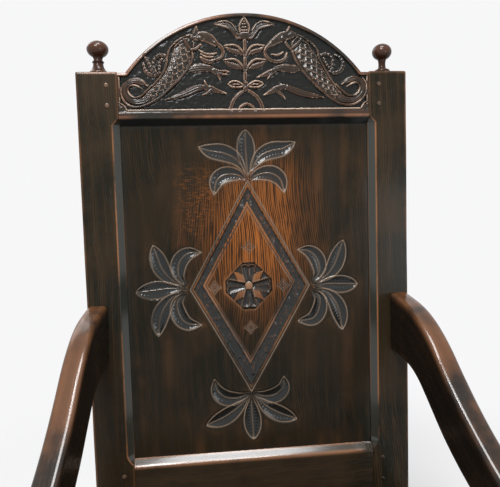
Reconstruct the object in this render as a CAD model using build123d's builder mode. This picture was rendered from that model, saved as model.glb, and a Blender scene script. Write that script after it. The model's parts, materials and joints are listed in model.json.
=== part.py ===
"""Joined oak wainscot chair: raked panelled back between square posts, carved arched crest rail,
downswept arms on turned front posts, board seat and a low box of stretchers.

Millimetres. +X is to the right as one faces the chair, -Y is the chair's front, +Z is up. The origin is
on the floor in the middle of the chair's footprint box. Left and right are as one faces the chair.
"""

import os
from math import atan, atan2, cos, radians, sin, sqrt, tan

from build123d import *

# Driving dimensions
SEAT_HEIGHT = 440.0
BACK_WIDTH = 500.0
FRONT_WIDTH = 586.0
SEAT_DEPTH = 392.0  # from the rear posts' front faces to the front posts' front faces
BACK_HEIGHT = 690.7  # rear posts above the seat, measured up the slope
RAKE = radians(8.0)

REAR_POST_WIDTH = 60.0
REAR_POST_THICK = 50.0
FRONT_POST_SIDE = 50.0
CHAMFER = 10.0  # on the rear posts' inner front arrises and the crest rail's lower one
CHAMFER_FOOT = 92.0
CHAMFER_RUN_OUT = 17.0
CHAMFER_SAGITTA = 2.5

GROOVE_FACE = 12.0  # depth of the panel's face, the grooves and the back tenons behind the front faces
GROOVE_WIDTH = 8.0
GROOVE_DEPTH = 9.0
BACK_RAIL_THICK = 34.0
BACK_TENON_LENGTH = 40.0

CREST_LOW = 613.0
CREST_SHOULDER = 689.0
CREST_TOP = 775.8
ARCH_HALF_CHORD = 178.0
CREST_BORDER = 7.5
CREST_END_BORDER = 2.5
CREST_FIELD_LOW = 634.0
CREST_FIELD_DEPTH = 4.0
CREST_TENON = (632.0, 682.0)

BACK_RAIL_LOW = 12.0
BACK_RAIL_HIGH = 99.0
BACK_RAIL_BEVEL_FOOT = 89.4
BACK_RAIL_TENON = (22.0, 90.0)

PANEL_TONGUE = 8.0
PANEL_FIELD = 5.0
PANEL_BEVEL = 20.0
PANEL_TAPER = 60.0  # degrees
PANEL_PLAY = 1.0  # between the panel's edges and the bottoms of its grooves
LOZENGE_HEIGHT = 361.0  # centre of the sunk lozenge, up the slope from the seat
LOZENGE_OUTER = (96.0, 161.0)
LOZENGE_INNER = (75.5, 127.0)
LOZENGE_DEPTH = 3.0

RAIL_THICK = 28.0
RAIL_SET_BACK = 4.0
RAIL_TENON_THICK = 9.0
RAIL_TENON_LENGTH = 26.0
SEAT_RAIL = (340.0, 418.0)
SEAT_RAIL_TENON = (350.0, 408.0)
STRETCHER = (62.0, 108.0)
STRETCHER_TENON = (68.0, 102.0)
SCRATCH_BEADS = (350.0, 358.0)  # heights of the two scratched grooves on the front seat rail
SCRATCH_WIDTH = 3.0
SCRATCH_DEPTH = 1.5

BOARD_THICK = 22.0
BOARD_OVERHANG_FRONT = 14.0
BOARD_OVERHANG_SIDE = 12.0
BOARD_JOINT = 212.0  # from the front posts' front faces to the joint between the two boards
BOARD_REAR_REACH = 44.0
BOARD_ROUND = 9.0

ARM_THICK = 30.0
ARM_CHAMFER = 4.0
ARM_SHOULDER = (246.4, 343.4)  # where the arm meets the rear post, up the slope from the seat
ARM_TENON = (258.0, 330.0)
ARM_TENON_THICK = 10.0
ARM_TENON_LENGTH = 34.0
ARM_UNDERSIDE = 566.0
# The arm's two long curves, as distances forwards from the back's foot and heights above the floor.
ARM_TOP = [(-56.0, 781.5), (-4.0, 779.5), (50.0, 765.5), (101.0, 734.5), (193.0, 675.0), (418.0, 609.0)]
ARM_BELLY = [
    (342.0, 566.0),
    (268.0, 577.0),
    (188.0, 604.0),
    (105.0, 647.0),
    (64.0, 674.0),
    (16.0, 690.0),
    (-56.0, 686.0),
]
ARM_FLAT_END = 396.0  # front end of the level bearing over the front post
NOSE_RADIUS = 21.0
NOSE_CENTRE = 418.0
NOSE_HEIGHT = 588.0
NOSE_QUIRK = (401.0, 574.5)
POST_TENON_WIDTH = 26.0
POST_TENON_THICK = 12.0
POST_TENON_HEIGHT = 30.0

PEG_RADIUS = 3.8
PEG_SIDES = 6
PEG_PROUD = 1.0
CREST_PEG_X = 206.0
CREST_PEGS = (641.4, 671.0)
BACK_RAIL_PEGS = (40.0, 76.0)
BACK_PEG_LENGTH = 40.0
ARM_PEGS = (274.0, 314.0)
SHORT_PEG_LENGTH = 30.0
SEAT_RAIL_PEGS = (364.0, 394.0)
STRETCHER_PEGS = (85.0,)
JOINT_PEG_LENGTH = 30.0
BOARD_PEG_LENGTH = 46.0
BOARD_PEGS_FRONT = (70.0, 190.0)  # from the middle, along the front seat rail
BOARD_PEGS_SIDE = (70.0, 262.0)  # forwards from the back, along the side seat rails
BOARD_PEGS_REAR = (120.0,)

FINIAL_SPIGOT_RADIUS = 4.8
FINIAL_SPIGOT_LENGTH = 24.0

# Each turned outline is a list of (radius, height).
POST_FOOT = [
    (19.0, 0.0),
    (19.0, 34.0),
    (36.0, 43.0),
]
POST_LEG = [
    (36.0, 126.0),
    (20.0, 136.0),
    (20.0, 146.0),
    (16.5, 146.0),
    (16.5, 292.0),
    (20.0, 292.0),
    (20.0, 302.0),
    (36.0, 312.0),
]
POST_ARM_SUPPORT = [
    (36.0, 446.0),
    (20.0, 456.0),
    (20.0, 465.0),
    (15.0, 465.0),
    (15.0, 552.0),
    (21.5, 552.0),
    (21.5, 566.0),
]
FINIAL_SPIGOT = [(FINIAL_SPIGOT_RADIUS, -FINIAL_SPIGOT_LENGTH), (FINIAL_SPIGOT_RADIUS, 0.0)]
FINIAL_LEFT_STEM = [(14.6, 0.0), (14.6, 5.0), (7.0, 18.0)]
FINIAL_RIGHT_STEM = [(12.5, 0.0), (12.5, 7.0), (5.5, 10.0)]
# Each ball's radius, the height of its centre and the radius of its flattened crown
FINIAL_LEFT_BALL = (15.4, 37.0, 8.2)
FINIAL_RIGHT_BALL = (14.6, 33.5, 7.5)

# Worked out from the dimensions above
SLOPE_COS = cos(RAKE)
SLOPE_SIN = sin(RAKE)
OPENING_HALF = BACK_WIDTH / 2 - REAR_POST_WIDTH
REAR_POST_X = BACK_WIDTH / 2 - REAR_POST_WIDTH / 2
FRONT_POST_X = FRONT_WIDTH / 2 - FRONT_POST_SIDE / 2
ARM_REAR_X = BACK_WIDTH / 2 - ARM_THICK / 2
CREST_ARRIS = CREST_LOW + CHAMFER  # front edge of the crest rail's chamfer

# The arm lies in an upright plane through its tenon and the front post's axis.
ARM_REAR_Y = sum(ARM_SHOULDER) / 2 * SLOPE_SIN
ARM_SLOPE = (FRONT_POST_X - ARM_REAR_X) / (SEAT_DEPTH - FRONT_POST_SIDE / 2 + ARM_REAR_Y)
ARM_SPLAY = atan(ARM_SLOPE)

# The chair stands centred on the origin, between the arms' noses and the tops of the rear posts.
FRONT_REACH = (NOSE_CENTRE + NOSE_RADIUS) * cos(ARM_SPLAY) + (ARM_THICK / 2 - ARM_CHAMFER) * sin(ARM_SPLAY)
REAR_REACH = BACK_HEIGHT * SLOPE_SIN + REAR_POST_THICK * SLOPE_COS
BACK_Y = (FRONT_REACH - REAR_REACH) / 2
FRONT_Y = BACK_Y - SEAT_DEPTH
FRONT_POST_Y = FRONT_Y + FRONT_POST_SIDE / 2
FRONT_POST_REAR_Y = FRONT_Y + FRONT_POST_SIDE

# The back's own plane: x across, y up the slope from the seat, +z out of the front faces.
BACK = Plane(origin=(0, BACK_Y, SEAT_HEIGHT), x_dir=(1, 0, 0), z_dir=(0, -SLOPE_COS, SLOPE_SIN))
GROOVE_PLANE = BACK.offset(-GROOVE_FACE)
BACK_CENTRE = BACK.offset(-REAR_POST_THICK / 2)
# A section across the back, looking along +X: x up the slope, y out of the front faces.
BACK_SECTION = Plane(origin=(-OPENING_HALF, BACK_Y, SEAT_HEIGHT), x_dir=BACK.y_dir, z_dir=(1, 0, 0))

# The side rails and stretchers follow the splay from the rear posts to the front posts.
SPLAY_RUN = SEAT_DEPTH - FRONT_POST_SIDE
SPLAY = atan2((FRONT_WIDTH - BACK_WIDTH) / 2, SPLAY_RUN)
SIDE_WIDTH_X = RAIL_THICK / cos(SPLAY)
SIDE_TENON_X = RAIL_TENON_THICK / cos(SPLAY)
SIDE_REAR_X = BACK_WIDTH / 2 - RAIL_SET_BACK
REAR_RAIL_Y = BACK_Y + REAR_POST_THICK - RAIL_SET_BACK - RAIL_THICK
FRONT_RAIL_Y = FRONT_Y + RAIL_SET_BACK
FRONT_INNER_X = FRONT_WIDTH / 2 - FRONT_POST_SIDE

os.makedirs("parts", exist_ok=True)


def finish(piece, name):
    """Label one finished piece and write it."""
    piece.part.label = name
    export_step(piece.part, f"parts/{name}.step")


def level(height):
    """A level plane at this height."""
    return Plane.XY.offset(height)


def post_axis_plane(x, y):
    """An upright plane through a turned post's axis: x outwards, y up."""
    return Plane(origin=(x, y, 0), x_dir=(1, 0, 0), z_dir=(0, -1, 0))


def turned_outline(stations, plane, ball_radius=0.0):
    """Half section of a turned piece on a plane whose Y axis is the turning's axis.

    It runs through each (radius, height). A ball radius makes the last step the ball's arc.
    """
    with BuildSketch(plane) as outline:
        with BuildLine():
            Line((0, stations[0][1]), stations[0])
            if ball_radius:
                Polyline(*stations[:-1])
                RadiusArc(stations[-2], stations[-1], -ball_radius)
            else:
                Polyline(*stations)
            Polyline(stations[-1], (0, stations[-1][1]), (0, stations[0][1]))
        make_face()
    return outline.sketch


def ball_ends(neck_radius, ball):
    """Stations where a ball centred on the turning's axis leaves its neck and ends in its crown."""
    radius, centre, crown_radius = ball
    return [
        (neck_radius, centre - sqrt(radius**2 - neck_radius**2)),
        (crown_radius, centre + sqrt(radius**2 - crown_radius**2)),
    ]


def peg_holes(planes, length):
    """Cut the holes of a set of pegs out of the piece being made, each one shaped by its driven peg."""
    with BuildSketch(*planes) as holes:
        RegularPolygon(radius=PEG_RADIUS, side_count=PEG_SIDES)
    extrude(holes.sketch, amount=-length, mode=Mode.SUBTRACT)


def pegs(planes, length, proud):
    """Riven six-sided pegs, driven into the planes and left a little proud."""
    with BuildSketch(*[plane.offset(proud) for plane in planes]) as ends:
        RegularPolygon(radius=PEG_RADIUS, side_count=PEG_SIDES)
    extrude(ends.sketch, amount=-(length + proud))


def side_line_x(y):
    """Outer face of the right-hand side rails at this y."""
    return SIDE_REAR_X + (BACK_Y - y) * tan(SPLAY)


def side_strip(inset, width, rear_y, front_y):
    """Plan of a strip along the right-hand side rail, between two y lines."""
    rear_x = side_line_x(rear_y) - inset
    front_x = side_line_x(front_y) - inset
    return [(rear_x, rear_y), (front_x, front_y), (front_x - width, front_y), (rear_x - width, rear_y)]


SIDE_TENON_INSET = (SIDE_WIDTH_X - SIDE_TENON_X) / 2
SIDE_RAIL_PLAN = side_strip(0, SIDE_WIDTH_X, BACK_Y, FRONT_POST_REAR_Y)
SIDE_TENON_PLAN = side_strip(
    SIDE_TENON_INSET, SIDE_TENON_X, BACK_Y + RAIL_TENON_LENGTH, FRONT_POST_REAR_Y - RAIL_TENON_LENGTH
)


def strip_prism(plan, heights, mode=Mode.ADD):
    """Stand a plan outline up between two heights."""
    with BuildSketch(level(heights[0])) as outline:
        with BuildLine():
            Polyline(*plan, close=True)
        make_face()
    extrude(outline.sketch, amount=heights[1] - heights[0], mode=mode)


def cross_plan(half_length, near_y, thick):
    """Plan of a front or rear rail between two posts."""
    far_y = near_y + thick
    return [(-half_length, near_y), (half_length, near_y), (half_length, far_y), (-half_length, far_y)]


def cross_tenon_plan(half_length, near_y):
    """Plan of the same rail's tenons, run through from end to end."""
    shoulder = (RAIL_THICK - RAIL_TENON_THICK) / 2
    return cross_plan(half_length + RAIL_TENON_LENGTH, near_y + shoulder, RAIL_TENON_THICK)


FRONT_RAIL_PLAN = cross_plan(FRONT_INNER_X, FRONT_RAIL_Y, RAIL_THICK)
FRONT_TENON_PLAN = cross_tenon_plan(FRONT_INNER_X, FRONT_RAIL_Y)
REAR_RAIL_PLAN = cross_plan(OPENING_HALF, REAR_RAIL_Y, RAIL_THICK)
REAR_TENON_PLAN = cross_tenon_plan(OPENING_HALF, REAR_RAIL_Y)


def facing(x, y, z, direction):
    """A peg's mouth: a plane at this point that faces the direction the peg was driven from."""
    return Plane(origin=(x, y, z), z_dir=direction)


def back_mouths(x, heights):
    """Mouths of pegs driven from the front of the back, at these heights up the slope."""
    return [Plane(origin=BACK.from_local_coords((x, height, 0)), z_dir=BACK.z_dir) for height in heights]


def frame_mouths(heights):
    """Mouths of the pegs in the joints of one level of the right-hand side of the seat frame."""
    mouths = []
    for z in heights:
        tenon_middle = RAIL_TENON_LENGTH / 2
        mouths.append(facing(FRONT_INNER_X + tenon_middle, FRONT_Y, z, (0, -1, 0)))
        mouths.append(facing(OPENING_HALF + tenon_middle, BACK_Y + REAR_POST_THICK, z, (0, 1, 0)))
        mouths.append(facing(FRONT_WIDTH / 2, FRONT_POST_REAR_Y - tenon_middle, z, (1, 0, 0)))
        mouths.append(facing(BACK_WIDTH / 2, BACK_Y + tenon_middle, z, (1, 0, 0)))
    return mouths


def both_sides(mouths):
    """The mouths on the right, and the same mouths on the chair's left side."""
    left = [
        Plane(
            origin=(-mouth.origin.X, mouth.origin.Y, mouth.origin.Z),
            z_dir=(-mouth.z_dir.X, mouth.z_dir.Y, mouth.z_dir.Z),
        )
        for mouth in mouths
    ]
    return mouths + left


SEAT_RAIL_MOUTHS = frame_mouths(SEAT_RAIL_PEGS)
STRETCHER_MOUTHS = frame_mouths(STRETCHER_PEGS)
CREST_MOUTHS = back_mouths(CREST_PEG_X, CREST_PEGS)
BACK_RAIL_MOUTHS = back_mouths(CREST_PEG_X, BACK_RAIL_PEGS)
ARM_MOUTH_POINTS = [(BACK_WIDTH / 2, height, -ARM_TENON_LENGTH / 2) for height in ARM_PEGS]
ARM_MOUTHS = [Plane(origin=BACK.from_local_coords(point), z_dir=(1, 0, 0)) for point in ARM_MOUTH_POINTS]
ARM_OUTWARD = (cos(ARM_SPLAY), sin(ARM_SPLAY), 0)
ARM_POST_MOUTH = Plane(
    origin=(
        FRONT_POST_X + ARM_THICK / 2 * cos(ARM_SPLAY),
        FRONT_POST_Y + ARM_THICK / 2 * sin(ARM_SPLAY),
        ARM_UNDERSIDE + POST_TENON_HEIGHT / 2,
    ),
    z_dir=ARM_OUTWARD,
)
BOARD_MOUTH_POINTS = (
    [(x, FRONT_RAIL_Y + RAIL_THICK / 2) for x in BOARD_PEGS_FRONT]
    + [(side_line_x(BACK_Y - run) - SIDE_WIDTH_X / 2, BACK_Y - run) for run in BOARD_PEGS_SIDE]
    + [(x, REAR_RAIL_Y + RAIL_THICK / 2) for x in BOARD_PEGS_REAR]
)
BOARD_MOUTHS = [facing(x, y, SEAT_HEIGHT, (0, 0, 1)) for x, y in BOARD_MOUTH_POINTS]


# Rear posts: each one is a single sawn length, upright below the seat and raked above it
with BuildPart() as rear_post_right:
    bend_z = SEAT_HEIGHT - REAR_POST_THICK * (1 / SLOPE_COS - 1) / tan(RAKE)
    top_front = BACK.from_local_coords((0, BACK_HEIGHT, 0))
    top_rear = BACK.from_local_coords((0, BACK_HEIGHT, -REAR_POST_THICK))
    with BuildSketch(Plane.YZ.offset(OPENING_HALF)):
        with BuildLine():
            Polyline(
                (BACK_Y, 0),
                (BACK_Y + REAR_POST_THICK, 0),
                (BACK_Y + REAR_POST_THICK, bend_z),
                (top_rear.Y, top_rear.Z),
                (top_front.Y, top_front.Z),
                (BACK_Y, SEAT_HEIGHT),
                close=True,
            )
        make_face()
    extrude(amount=REAR_POST_WIDTH)
    # Panel groove, with the crest rail's and the bottom rail's mortises in line with it
    for low, high, depth in (
        (BACK_RAIL_HIGH - GROOVE_DEPTH, CREST_LOW + GROOVE_DEPTH, GROOVE_DEPTH),
        (*CREST_TENON, BACK_TENON_LENGTH),
        (*BACK_RAIL_TENON, BACK_TENON_LENGTH),
    ):
        with BuildSketch(GROOVE_PLANE):
            with Locations((OPENING_HALF, low)):
                Rectangle(depth, high - low, align=(Align.MIN, Align.MIN))
        extrude(amount=-GROOVE_WIDTH, mode=Mode.SUBTRACT)
    # Mortise for the arm
    with BuildSketch(BACK):
        with Locations((ARM_REAR_X, sum(ARM_TENON) / 2)):
            Rectangle(ARM_TENON_THICK, ARM_TENON[1] - ARM_TENON[0])
    extrude(amount=-ARM_TENON_LENGTH, mode=Mode.SUBTRACT)
    # Mortises for the seat rails and stretchers
    for heights in (SEAT_RAIL_TENON, STRETCHER_TENON):
        strip_prism(REAR_TENON_PLAN, heights, mode=Mode.SUBTRACT)
        strip_prism(SIDE_TENON_PLAN, heights, mode=Mode.SUBTRACT)
    # Chamfer along the panel, mitred into the crest rail's and run out in a curve above the bottom rail
    with BuildSketch(BACK):
        with BuildLine():
            chamfer_x = OPENING_HALF + CHAMFER
            clear_x = OPENING_HALF - 2 * CHAMFER
            run_out_top = (chamfer_x, CHAMFER_FOOT + CHAMFER_RUN_OUT)
            Line((chamfer_x, CREST_ARRIS), run_out_top)
            SagittaArc(run_out_top, (OPENING_HALF, CHAMFER_FOOT), -CHAMFER_SAGITTA)
            Polyline((OPENING_HALF, CHAMFER_FOOT), (clear_x, CHAMFER_FOOT), (clear_x, CREST_ARRIS))
            Line((clear_x, CREST_ARRIS), (chamfer_x, CREST_ARRIS))
        make_face()
    extrude(amount=-CHAMFER, taper=45, mode=Mode.SUBTRACT)
    # Hole for the finial's spigot
    post_top = BACK_CENTRE.from_local_coords((REAR_POST_X, BACK_HEIGHT, 0))
    with BuildSketch(Plane(origin=post_top, z_dir=BACK.y_dir)):
        Circle(FINIAL_SPIGOT_RADIUS)
    extrude(amount=-FINIAL_SPIGOT_LENGTH, mode=Mode.SUBTRACT)
    peg_holes(CREST_MOUTHS + BACK_RAIL_MOUTHS, BACK_PEG_LENGTH)
    peg_holes(ARM_MOUTHS, SHORT_PEG_LENGTH)
    peg_holes(SEAT_RAIL_MOUTHS + STRETCHER_MOUTHS, JOINT_PEG_LENGTH)
finish(rear_post_right, "rear_post_right")

with BuildPart() as rear_post_left:
    mirror(rear_post_right.part, about=Plane.YZ)
finish(rear_post_left, "rear_post_left")


# Front posts: a square billet whose turned outline leaves the joint blocks square
with BuildPart() as front_post_right:
    axis_plane = post_axis_plane(FRONT_POST_X, FRONT_POST_Y)
    outline = turned_outline(POST_FOOT + POST_LEG + POST_ARM_SUPPORT, axis_plane)
    revolve(outline, axis=Axis((FRONT_POST_X, FRONT_POST_Y, 0), (0, 0, 1)))
    with BuildSketch():
        with Locations((FRONT_POST_X, FRONT_POST_Y)):
            Rectangle(FRONT_POST_SIDE, FRONT_POST_SIDE)
    extrude(amount=ARM_UNDERSIDE, mode=Mode.INTERSECT)
    with BuildSketch(level(ARM_UNDERSIDE)):
        with Locations((FRONT_POST_X, FRONT_POST_Y)):
            Rectangle(POST_TENON_THICK, POST_TENON_WIDTH)
    extrude(amount=POST_TENON_HEIGHT)
    for heights in (SEAT_RAIL_TENON, STRETCHER_TENON):
        strip_prism(FRONT_TENON_PLAN, heights, mode=Mode.SUBTRACT)
        strip_prism(SIDE_TENON_PLAN, heights, mode=Mode.SUBTRACT)
    peg_holes(SEAT_RAIL_MOUTHS + STRETCHER_MOUTHS, JOINT_PEG_LENGTH)
    peg_holes([ARM_POST_MOUTH], SHORT_PEG_LENGTH)
finish(front_post_right, "front_post_right")

with BuildPart() as front_post_left:
    mirror(front_post_right.part, about=Plane.YZ)
finish(front_post_left, "front_post_left")


# Arms: sawn to a sweep, tenoned into the rear posts and mortised over the front posts
with BuildPart() as arm_right:
    arm_plane = Plane(
        origin=(ARM_REAR_X + ARM_REAR_Y * ARM_SLOPE, BACK_Y, 0),
        x_dir=(sin(ARM_SPLAY), -cos(ARM_SPLAY), 0),
        z_dir=(-cos(ARM_SPLAY), -sin(ARM_SPLAY), 0),
    )
    with BuildSketch(arm_plane):
        with BuildLine():
            nose_bottom = (NOSE_CENTRE, NOSE_HEIGHT - NOSE_RADIUS)
            # Each arc leaves in the direction in which the one before it arrived.
            for points in (ARM_TOP, ARM_BELLY):
                heading = (1, 0) if points is ARM_TOP else (-1, 0)
                for start, end in zip(points, points[1:]):
                    heading = TangentArc(start, end, tangent=heading) % 1
            ThreePointArc(ARM_TOP[-1], (NOSE_CENTRE + NOSE_RADIUS, NOSE_HEIGHT), nose_bottom)
            TangentArc(nose_bottom, NOSE_QUIRK, tangent=(-1, 0))
            Polyline(NOSE_QUIRK, (ARM_FLAT_END, ARM_UNDERSIDE), ARM_BELLY[0])
            Line(ARM_BELLY[-1], ARM_TOP[0])
        make_face()
    extrude(amount=ARM_THICK / 2, both=True)
    chamfer(arm_right.edges().filter_by(GeomType.CIRCLE), ARM_CHAMFER)
    split(bisect_by=BACK, keep=Keep.TOP)
    with BuildSketch(BACK):
        with Locations((ARM_REAR_X, sum(ARM_TENON) / 2)):
            Rectangle(ARM_TENON_THICK, ARM_TENON[1] - ARM_TENON[0])
    extrude(amount=-ARM_TENON_LENGTH)
    with BuildSketch(level(ARM_UNDERSIDE)):
        with Locations((FRONT_POST_X, FRONT_POST_Y)):
            Rectangle(POST_TENON_THICK, POST_TENON_WIDTH)
    extrude(amount=POST_TENON_HEIGHT, mode=Mode.SUBTRACT)
    peg_holes(ARM_MOUTHS, SHORT_PEG_LENGTH)
    peg_holes([ARM_POST_MOUTH], SHORT_PEG_LENGTH)
finish(arm_right, "arm_right")

with BuildPart() as arm_left:
    mirror(arm_right.part, about=Plane.YZ)
finish(arm_left, "arm_left")


# The back: crest rail, bottom rail and one wide panel held in grooves
with BuildPart() as crest_rail:
    with BuildSketch(BACK):
        with BuildLine():
            arch_right = (ARCH_HALF_CHORD, CREST_SHOULDER)
            arch_left = (-ARCH_HALF_CHORD, CREST_SHOULDER)
            Polyline(arch_left, (-OPENING_HALF, CREST_SHOULDER), (-OPENING_HALF, CREST_LOW))
            Line((-OPENING_HALF, CREST_LOW), (OPENING_HALF, CREST_LOW))
            Polyline((OPENING_HALF, CREST_LOW), (OPENING_HALF, CREST_SHOULDER), arch_right)
            ThreePointArc(arch_right, (0, CREST_TOP), arch_left)
        make_face()
    extrude(amount=-BACK_RAIL_THICK)
    # Sunk field for the carving, within a plain border
    with BuildSketch(BACK):
        field_half = OPENING_HALF - CREST_END_BORDER
        field_shoulder = CREST_SHOULDER - CREST_BORDER
        with BuildLine():
            Polyline(
                (-ARCH_HALF_CHORD, field_shoulder),
                (-field_half, field_shoulder),
                (-field_half, CREST_FIELD_LOW),
                (field_half, CREST_FIELD_LOW),
                (field_half, field_shoulder),
                (ARCH_HALF_CHORD, field_shoulder),
            )
            field_top = (0, CREST_TOP - CREST_BORDER)
            ThreePointArc((ARCH_HALF_CHORD, field_shoulder), field_top, (-ARCH_HALF_CHORD, field_shoulder))
        make_face()
    extrude(amount=-CREST_FIELD_DEPTH, mode=Mode.SUBTRACT)
    with BuildSketch(GROOVE_PLANE):
        with Locations((0, sum(CREST_TENON) / 2)):
            Rectangle(2 * (OPENING_HALF + BACK_TENON_LENGTH), CREST_TENON[1] - CREST_TENON[0])
    extrude(amount=-GROOVE_WIDTH)
    with BuildSketch(GROOVE_PLANE):
        with Locations((0, CREST_LOW)):
            Rectangle(2 * OPENING_HALF, GROOVE_DEPTH, align=(Align.CENTER, Align.MIN))
    extrude(amount=-GROOVE_WIDTH, mode=Mode.SUBTRACT)
    # Chamfer over the panel, in line with the rear posts' chamfers
    with BuildSketch(BACK):
        with Locations((0, CREST_ARRIS)):
            Rectangle(2 * (OPENING_HALF + CHAMFER), 3 * CHAMFER, align=(Align.CENTER, Align.MAX))
    extrude(amount=-CHAMFER, taper=45, mode=Mode.SUBTRACT)
    peg_holes(both_sides(CREST_MOUTHS), BACK_PEG_LENGTH)
finish(crest_rail, "crest_rail")

with BuildPart() as back_bottom_rail:
    with BuildSketch(BACK_SECTION):
        groove_foot = BACK_RAIL_HIGH - GROOVE_DEPTH
        groove_back = GROOVE_FACE + GROOVE_WIDTH
        with BuildLine():
            Polyline(
                (BACK_RAIL_LOW, 0),
                (BACK_RAIL_BEVEL_FOOT, 0),
                (BACK_RAIL_HIGH, -GROOVE_FACE),
                (groove_foot, -GROOVE_FACE),
                (groove_foot, -groove_back),
                (BACK_RAIL_HIGH, -groove_back),
                (BACK_RAIL_HIGH, -BACK_RAIL_THICK),
                (BACK_RAIL_LOW, -BACK_RAIL_THICK),
                close=True,
            )
        make_face()
    extrude(amount=2 * OPENING_HALF)
    with BuildSketch(GROOVE_PLANE):
        with Locations((0, sum(BACK_RAIL_TENON) / 2)):
            Rectangle(2 * (OPENING_HALF + BACK_TENON_LENGTH), BACK_RAIL_TENON[1] - BACK_RAIL_TENON[0])
    extrude(amount=-GROOVE_WIDTH)
    peg_holes(both_sides(BACK_RAIL_MOUTHS), BACK_PEG_LENGTH)
finish(back_bottom_rail, "back_bottom_rail")

with BuildPart() as back_panel:
    panel_middle = (BACK_RAIL_HIGH + CREST_LOW) / 2
    panel_tongue = GROOVE_DEPTH - PANEL_PLAY
    panel_width = 2 * (OPENING_HALF + panel_tongue)
    panel_height = CREST_LOW - BACK_RAIL_HIGH + 2 * panel_tongue
    with BuildSketch(GROOVE_PLANE):
        with Locations((0, panel_middle)):
            Rectangle(panel_width, panel_height)
    extrude(amount=-PANEL_TONGUE)
    # The back of the panel is thinned to a tongue all round
    with BuildSketch(GROOVE_PLANE.offset(-PANEL_TONGUE)):
        with Locations((0, panel_middle)):
            Rectangle(panel_width - 2 * PANEL_BEVEL, panel_height - 2 * PANEL_BEVEL)
    extrude(amount=-PANEL_FIELD, taper=PANEL_TAPER)
    # Sunk lozenge band
    with BuildSketch(GROOVE_PLANE):
        with Locations((0, LOZENGE_HEIGHT)):
            for half, mode in ((LOZENGE_OUTER, Mode.ADD), (LOZENGE_INNER, Mode.SUBTRACT)):
                Polygon((half[0], 0), (0, half[1]), (-half[0], 0), (0, -half[1]), align=None, mode=mode)
    extrude(amount=-LOZENGE_DEPTH, mode=Mode.SUBTRACT)
finish(back_panel, "back_panel")


# Seat frame and stretchers
def cross_rail(plan, tenon_plan, heights, tenon_heights):
    """One front or rear rail with its two tenons."""
    with BuildPart() as rail:
        strip_prism(plan, heights)
        strip_prism(tenon_plan, tenon_heights)
    return rail.part


def side_rail(heights, tenon_heights):
    """The right-hand side rail of one level, following the splay, with its two tenons."""
    with BuildPart() as rail:
        strip_prism(SIDE_RAIL_PLAN, heights)
        strip_prism(SIDE_TENON_PLAN, tenon_heights)
    return rail.part


with BuildPart() as seat_rail_front:
    add(cross_rail(FRONT_RAIL_PLAN, FRONT_TENON_PLAN, SEAT_RAIL, SEAT_RAIL_TENON))
    # Two scratched beads along the foot of the rail's face
    with BuildSketch(Plane.XZ.offset(-FRONT_RAIL_Y)):
        for height in SCRATCH_BEADS:
            with Locations((0, height)):
                Rectangle(2 * FRONT_INNER_X, SCRATCH_WIDTH)
    extrude(amount=-SCRATCH_DEPTH, mode=Mode.SUBTRACT)
    peg_holes(both_sides(SEAT_RAIL_MOUTHS), JOINT_PEG_LENGTH)
    peg_holes(both_sides(BOARD_MOUTHS), BOARD_PEG_LENGTH)
finish(seat_rail_front, "seat_rail_front")

with BuildPart() as seat_rail_rear:
    add(cross_rail(REAR_RAIL_PLAN, REAR_TENON_PLAN, SEAT_RAIL, SEAT_RAIL_TENON))
    peg_holes(both_sides(SEAT_RAIL_MOUTHS), JOINT_PEG_LENGTH)
    peg_holes(both_sides(BOARD_MOUTHS), BOARD_PEG_LENGTH)
finish(seat_rail_rear, "seat_rail_rear")

with BuildPart() as seat_rail_right:
    add(side_rail(SEAT_RAIL, SEAT_RAIL_TENON))
    peg_holes(SEAT_RAIL_MOUTHS, JOINT_PEG_LENGTH)
    peg_holes(BOARD_MOUTHS, BOARD_PEG_LENGTH)
finish(seat_rail_right, "seat_rail_right")

with BuildPart() as seat_rail_left:
    mirror(seat_rail_right.part, about=Plane.YZ)
finish(seat_rail_left, "seat_rail_left")

with BuildPart() as stretcher_front:
    add(cross_rail(FRONT_RAIL_PLAN, FRONT_TENON_PLAN, STRETCHER, STRETCHER_TENON))
    peg_holes(both_sides(STRETCHER_MOUTHS), JOINT_PEG_LENGTH)
finish(stretcher_front, "stretcher_front")

with BuildPart() as stretcher_rear:
    add(cross_rail(REAR_RAIL_PLAN, REAR_TENON_PLAN, STRETCHER, STRETCHER_TENON))
    peg_holes(both_sides(STRETCHER_MOUTHS), JOINT_PEG_LENGTH)
finish(stretcher_rear, "stretcher_rear")

with BuildPart() as stretcher_right:
    add(side_rail(STRETCHER, STRETCHER_TENON))
    peg_holes(STRETCHER_MOUTHS, JOINT_PEG_LENGTH)
finish(stretcher_right, "stretcher_right")

with BuildPart() as stretcher_left:
    mirror(stretcher_right.part, about=Plane.YZ)
finish(stretcher_left, "stretcher_left")


# Seat: two boards laid across, cut round the posts and rounded on their open edges
BOARD_JOINT_Y = FRONT_Y + BOARD_JOINT
BOARD_FRONT_Y = FRONT_Y - BOARD_OVERHANG_FRONT
BOARD_REAR_Y = BACK_Y + BOARD_REAR_REACH


def board_side_x(y):
    """The boards' overhanging side edge at this y."""
    return side_line_x(y) + BOARD_OVERHANG_SIDE


def mirrored(points):
    """The points, followed by their mirror images in reverse order."""
    return points + [(-x, y) for x, y in reversed(points)]


FRONT_BOARD_PLAN = mirrored(
    [
        (FRONT_INNER_X, BOARD_FRONT_Y),
        (FRONT_INNER_X, FRONT_POST_REAR_Y),
        (board_side_x(FRONT_POST_REAR_Y), FRONT_POST_REAR_Y),
        (board_side_x(BOARD_JOINT_Y), BOARD_JOINT_Y),
    ]
)
REAR_BOARD_PLAN = mirrored(
    [
        (board_side_x(BOARD_JOINT_Y), BOARD_JOINT_Y),
        (board_side_x(BACK_Y), BACK_Y),
        (OPENING_HALF, BACK_Y),
        (OPENING_HALF, BOARD_REAR_Y),
    ]
)


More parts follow.
